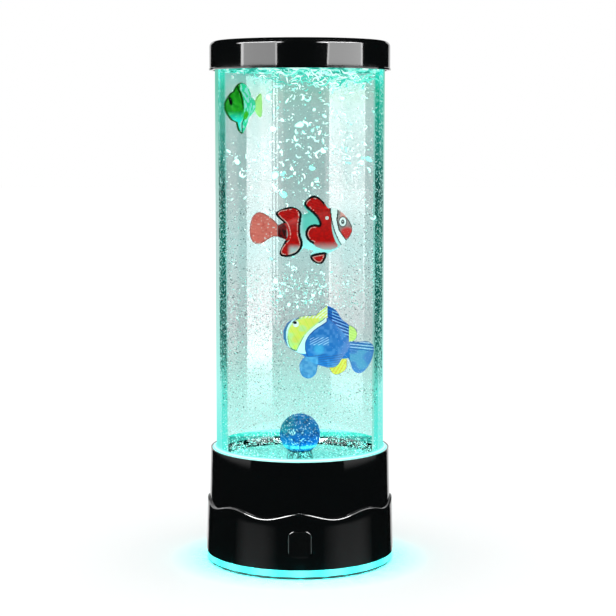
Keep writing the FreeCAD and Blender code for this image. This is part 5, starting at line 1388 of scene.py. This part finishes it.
def bubble_cloud(name, seed, centres, sizes, form, squash, dent, coat, tones, upright):
    """Each bubble: shape times stretch times (1 + dent times waves), turned, times size, plus centre."""
    rng = np.random.default_rng(seed)
    shape, faces = form
    count = len(centres)
    stretch = np.stack([rng.uniform(squash, 1, count) for _ in range(3)], 1)
    points = shape[None] * stretch[:, None]
    if dent:
        phase = rng.uniform(0, 6.3, (count, 1, 3))
        points = points * (1 + dent * np.sin(points * 3.1 + phase).sum(-1, keepdims=True))
    points = np.einsum("nij,npj->npi", turns_of(rng, count, upright), points) * sizes[:, None, None]
    points = points + centres[:, None]
    outside = np.hypot(points[..., 0], points[..., 1])
    points[..., :2] *= np.minimum(1, (BORE - WALL_GAP) / np.maximum(outside, 1e-9))[..., None]
    every = (faces[None] + (np.arange(count) * len(shape))[:, None, None]).reshape(-1, 3)
    tone = np.asarray(tones)[rng.integers(0, len(tones), count)]
    item = add_mesh(name, points.reshape(-1, 3), every, paint=np.repeat(tone, len(shape), axis=0))
    item.data.materials.append(coat)
    item.visible_glossy = False
    print(name, "bubbles", count, "faces", len(every))


def bubbles(name, seed, count, low, high, size, form, squash, dent, coat, tones, inner=0.0, outer=43.0,
            upright=False):
    """A family between two heights and radii; sizes run from small to large by a root law."""
    rng = np.random.default_rng(seed)
    centres = scatter(rng, count, low, high, inner, outer)
    centres = centres[clear_of_fish(centres, size[1])]
    sizes = size[0] + (size[1] - size[0]) * rng.power(0.5, len(centres))
    bubble_cloud(name, seed + 1, centres, sizes, form, squash, dent, coat, tones, upright)


# %% [markdown]
# ## The film at the surface
#
# On the real lamp foam sticks to the wall just under the surface. A thin ring with streaky noise,
# its light painted as a glow of its own, stands for it, in front of the inside of the lid's skirt.

# %% Foam rim
RIM_LOW, RIM_HIGH = 282.8, 288.4


def make_foam_rim():
    """A thin turned ring on the wall of the tube with glowing bright streaks of painted light."""
    outer = BORE - 0.1
    inner = outer - 0.4
    ring = [(inner, RIM_LOW), (outer, RIM_LOW), (outer, RIM_HIGH), (inner, RIM_HIGH)]
    item = add_mesh("foam_rim", *lathe(ring, 160))
    made, tree, shader = new_material("foam_rim", Roughness=0.3)
    light_up(tree, shader, shades(tree, grain(tree, 260, 3.0, (0.6, 0.6, 2.0)), [
        (0.40, (20, 150, 136)), (0.50, (84, 206, 190)), (0.57, (190, 246, 238)), (0.62, (255, 255, 255)),
    ]), 0.7)
    item.data.materials.append(made)
    item.visible_glossy = False


make_foam_rim()
print("foam rim from", RIM_LOW, "to", RIM_HIGH)

# %% [markdown]
# ## The families
#
# Each row: name, seed, count, lowest and highest centre, smallest and largest size, shape, least
# stretch, dent, coat, tones and, where they are not spread over the whole tube, inner and outer
# radius. Ripples also stand upright, facing the front.

# %% Fill the tube
DROP, BLOB, GRAIN = small_ball(2), small_ball(1), small_ball(0)
CURL, CRUMB, RIPPLE = curl(3.4, 0.30), curl(1.8, 0.34), ripple(0.16, 0.09)
for row in [
    ("bubbles_large", 101, 50, 205, 274, (1.0, 2.6), DROP, 0.26, 0.22, BRIGHT, PALE_TONES),
    ("foam_curls", 121, 130, 200, 276, (1.5, 2.9), CURL, 0.8, 0.0, BRIGHT, FOAM_TONES),
    ("foam_crumbs", 123, 170, 150, 276, (1.1, 2.3), CRUMB, 0.7, 0.0, BRIGHT, FOAM_TONES),
    ("foam_plume", 129, 70, 148, 184, (1.0, 2.2), CURL, 0.8, 0.0, BRIGHT, PALE_TONES, 0.0, 21.0),
    ("foam_ripples", 125, 250, 276, 286.5, (2.6, 6.8), RIPPLE, 0.8, 0.0, FOAM, WAVE_TONES,
     6.0, 44.0, True),
    ("foam_top", 127, 60, 272, 284.5, (1.0, 2.0), CURL, 0.8, 0.0, FOAM, WAVE_TONES, 6.0, 44.0),
    ("bubbles_column", 102, 60, 140, 272, (0.8, 2.3), DROP, 0.26, 0.22, BRIGHT, PALE_TONES, 0.0, 24.0),
    ("bubbles_middle", 103, 110, 135, 274, (0.5, 1.4), BLOB, 0.3, 0.2, BRIGHT, PALE_TONES),
    ("bubbles_small", 105, 800, 100, 274, (0.22, 0.6), GRAIN, 0.5, 0.0, FINE, PALE_TONES),
    ("bubbles_foot", 107, 6500, 60, 165, (0.18, 0.42), GRAIN, 0.6, 0.0, FINE, MIXED_TONES),
    ("bubbles_wall", 109, 2200, 60, 276, (0.2, 0.5), GRAIN, 0.6, 0.0, FINE, PALE_TONES, 41.5, 45.0),
    ("bubbles_base", 113, 1500, 58.8, 68, (0.25, 0.6), GRAIN, 0.6, 0.0, FINE, MIXED_TONES, 33.0, 45.0),
    # painted shade: dark specks along the wall give the dark band at the tube's edges
    ("bubbles_edge", 115, 1700, 90, 205, (0.25, 0.55), GRAIN, 0.6, 0.0, DARK, DARK_TONES, 43.8, 45.0),
    ("bubbles_shade", 111, 4600, 60, 190, (0.16, 0.38), GRAIN, 0.6, 0.0, DARK, DARK_TONES),
]:
    bubbles(*row)

# %% [markdown]
# ## Panels for mirror images
#
# Gloss black shows only what it mirrors, so the studio is built from mirror images: upright
# curved panels around the lamp, which glow and show to mirrors alone. Each point of a panel has
# its own strength, so that a panel can fade upwards or at its sides.

# %% Glowing panels


def mirror_only(name, points, faces, light):
    """A glowing mesh seen only in mirrors, with the light given at each point."""
    item = add_mesh(name, points, faces, body=None, smooth=False, paint=np.outer(light, (1, 1, 1)))
    made = bpy.data.materials.new(name)
    made.use_nodes = True
    tree = made.node_tree
    tree.nodes.clear()
    shine, out = node(tree, "Emission", {"Color": painted(tree)}), node(tree, "OutputMaterial")
    tree.links.new(shine.outputs[0], out.inputs["Surface"])
    item.data.materials.append(made)
    for kind in ("camera", "diffuse", "transmission", "volume_scatter", "shadow"):
        setattr(item, f"visible_{kind}", False)
    print(name, "faces", len(faces))


def panel(name, azimuths, levels, strengths, away=150.0, steps=12, fade=0.0):
    """Part of an upright cylinder: x is distance times sine, y is less distance times cosine.

    Azimuths are degrees from the front, left is negative. Levels are heights and strengths the
    light at each of them; fade is the share of the width over which both sides fade in."""
    share = np.linspace(0, 1, steps + 1)
    turn = np.radians(azimuths[0] + (azimuths[1] - azimuths[0]) * share)
    ring = np.stack([away * np.sin(turn), -away * np.cos(turn), 0 * turn], 1)
    points = np.concatenate([ring + (0, 0, level) for level in levels])
    faces = grid_faces(np.arange(len(points)).reshape(len(levels), steps + 1).T)
    edge = np.clip(np.minimum(share, 1 - share) / fade, 0, 1) if fade else np.ones(steps + 1)
    mirror_only(name, points, faces, np.outer(strengths, edge).ravel())


# %% [markdown]
# ## Pale strips and soft light
#
# Two tall boxes at the sides give the pale strips that the far wall of the water mirrors; their
# strengths follow the photograph by height. Narrow lines beside them are their bright edges. The
# lid has two patches with lines of its own, and two high panels light up the shoulder's wave.

# %% Boxes and lines
TUBE_SPAN, LID_SPAN, LOW_SPAN, HIGH_SPAN = (110, 287), (288.5, 330), (-25, 12), (400, 2900)
LID_LINE = 13.0
panel("box_right", (48.5, 98.3), (44, 58, 66, 75, 88, 107, 140, 163, 202, 231, 256, 288),
      (0.1, 2.6, 4.5, 4.2, 10.0, 6.0, 3.2, 2.7, 4.2, 5.3, 3.6, 3.6))
panel("box_left", (-124.0, -54.6), (44, 58, 66, 88, 107, 140, 163, 178, 202, 231, 256, 288),
      (0.1, 2.6, 4.0, 3.0, 2.0, 1.5, 1.4, 1.8, 4.5, 3.6, 4.4, 4.4))
for step, (first, last, light) in enumerate([
    (46.0, 43.4, 7), (40.4, 37.7, 5), (-51.0, -54.6, 6), (-124.0, -127.6, 5),
]):
    panel(f"tube_line_{step + 1}", (first, last), TUBE_SPAN, (light * 0.5, light), steps=2)
panel("lid_left", (-62.6, -25.2), LID_SPAN, (6.1, 6.1))
panel("lid_right", (30.2, 69.6), LID_SPAN, (7.8, 7.8))
for step, span in enumerate([(-66.2, -62.6), (-25.2, -23.6), (28.6, 30.2), (69.6, 71.8)]):
    panel(f"lid_line_{step + 1}", span, LID_SPAN, (LID_LINE, LID_LINE), steps=2)
panel("low_left", (-72.0, -22.0), LOW_SPAN, (0.42, 0.3), fade=0.3)
panel("low_right", (22.0, 84.0), LOW_SPAN, (0.46, 0.34), fade=0.3)
for name, span in (("high_left", (-86.0, -20.0)), ("high_right", (20.0, 86.0))):
    panel(name, span, HIGH_SPAN, (52.0, 52.0), away=1000.0, fade=0.25)

# %% [markdown]
# ## Dark cards
#
# Between the pale panels the black plastic has to mirror something dark, or it would look grey.
# A wide dark card stands behind them all the way round, with covers over and under it.

# %% Cards and covers
CARD_LIGHT = 0.006
panel("dark_card", (-154, 152), (-2500, 3000), (CARD_LIGHT, CARD_LIGHT), away=1500.0, steps=60)
panel("dark_back", (152, 206), (1400, 3000), (CARD_LIGHT, CARD_LIGHT), away=1500.0, steps=10)
around = np.linspace(0, 2 * math.pi, 60, endpoint=False)
for name, away, level in (("dark_cover", 1500, 3000), ("dark_disc", 140, 336)):
    ring = np.stack([away * np.cos(around), away * np.sin(around), 0 * around + level], 1)
    mirror_only(name, ring, [list(range(60))], np.full(60, CARD_LIGHT))

# %% [markdown]
# ## Floor and surround
#
# The floor is pale, with a painted cyan glow around the foot, where the light of the ring falls.
# The surround is white where the camera or a mirror looks past the lamp, through Light Path, and
# gives even, soft light to everything else.

# %% Floor and world
FLOOR_WHITE, FLOOR_RING_GLOW = (0.97, 0.97, 0.97), (0.68, 0.97, 0.95)
FLOOR_HALF, FLOOR_LEVEL = 6000.0, -0.3
SOFT_LIGHT = 1.12


def make_floor():
    """A large square under the feet, with a painted glow of the ring near the axis."""
    corners = [(-1, -1), (1, -1), (1, 1), (-1, 1)]
    points = [(x * FLOOR_HALF, y * FLOOR_HALF, FLOOR_LEVEL) for x, y in corners]
    floor = add_mesh("floor", points, [[0, 1, 2, 3]], body=None, smooth=False)
    made, tree, shader = new_material("floor", Base_Color=FLOOR_WHITE, Roughness=0.9, Specular_IOR_Level=0.0)
    # painted light: cyan near the foot, for the glow of the ring
    away = between(tree, axis_distance(tree), 57 * MM, 76 * MM)
    tree.links.new(mix_colour(tree, away, FLOOR_RING_GLOW, FLOOR_WHITE), shader.inputs["Base Color"])
    floor.data.materials.append(made)
    floor.visible_glossy = False


def make_world():
    """White where the camera, mirrors or glass look past the lamp; soft light for the rest."""
    world = bpy.data.worlds.new("studio")
    bpy.context.scene.world = world
    world.use_nodes = True
    tree = world.node_tree
    path = node(tree, "LightPath")
    seen = path.outputs["Is Camera Ray"]
    for kind in ("Is Glossy Ray", "Is Transmission Ray"):
        seen = calc(tree, "MAXIMUM", seen, path.outputs[kind])
    strength = node(tree, "Mix", {0: seen, 2: SOFT_LIGHT, 3: 1.0}, data_type="FLOAT").outputs[0]
    back = tree.nodes["Background"]
    back.inputs["Color"].default_value = (1, 1, 1, 1)
    tree.links.new(strength, back.inputs["Strength"])


make_floor()
make_world()
print("soft light:", SOFT_LIGHT)

# %% [markdown]
# ## The lamp's own light
#
# A disk of light at the floor of the tube shines upwards, and a ring of small lamps at the foot
# throws the cyan glow on the table.

# %% Lamps
RING_LAMPS, RING_RADIUS, RING_HEIGHT = 24, 57.0, 3.0


def lamp(name, kind, place, energy, colour, size):
    """A disk or a small round lamp, not seen by camera or mirrors."""
    light = bpy.data.lights.new(name, kind)
    light.energy = energy
    light.color = colour
    if kind == "AREA":
        light.shape = "DISK"
        light.size = size * MM
    else:
        light.shadow_soft_size = size * MM
    item = bpy.data.objects.new(name, light)
    item.location = [part * MM for part in place]
    item.visible_camera = item.visible_glossy = False
    bpy.context.scene.collection.objects.link(item)
    return item


up = lamp("tube_light", "AREA", (0, 0, FLOOR + 0.6), 0.06, (0.10, 1.0, 0.92), 84.0)
up.rotation_euler = (math.pi, 0, 0)
for step in range(RING_LAMPS):
    angle = 2 * math.pi * step / RING_LAMPS
    place = (RING_RADIUS * math.cos(angle), RING_RADIUS * math.sin(angle), RING_HEIGHT)
    lamp(f"ring_light_{step + 1}", "POINT", place, 0.0034, (0.0, 1.0, 0.94), 2.0)
print("lamps:", RING_LAMPS + 1)

# %% [markdown]
# ## Camera
#
# The photograph was taken from about a metre away and a little above, with a long lens. Place,
# tilt and lens were worked out from the lamp's edges in the picture; the shift centres it.

# %% Camera
LENS, SENSOR, SHIFT = 100.12, 36.0, 0.01324
CAMERA_PLACE, CAMERA_TILT = (0, -0.98957, 0.25164), 83.955
data = bpy.data.cameras.new("camera")
data.lens, data.sensor_width, data.shift_x = LENS, SENSOR, SHIFT
camera = bpy.data.objects.new("camera", data)
camera.location = CAMERA_PLACE
camera.rotation_euler = (math.radians(CAMERA_TILT), 0, 0)
bpy.context.scene.collection.objects.link(camera)
bpy.context.scene.camera = camera
bpy.context.scene.view_settings.view_transform = "Standard"
print("camera at", CAMERA_PLACE, "lens", LENS)
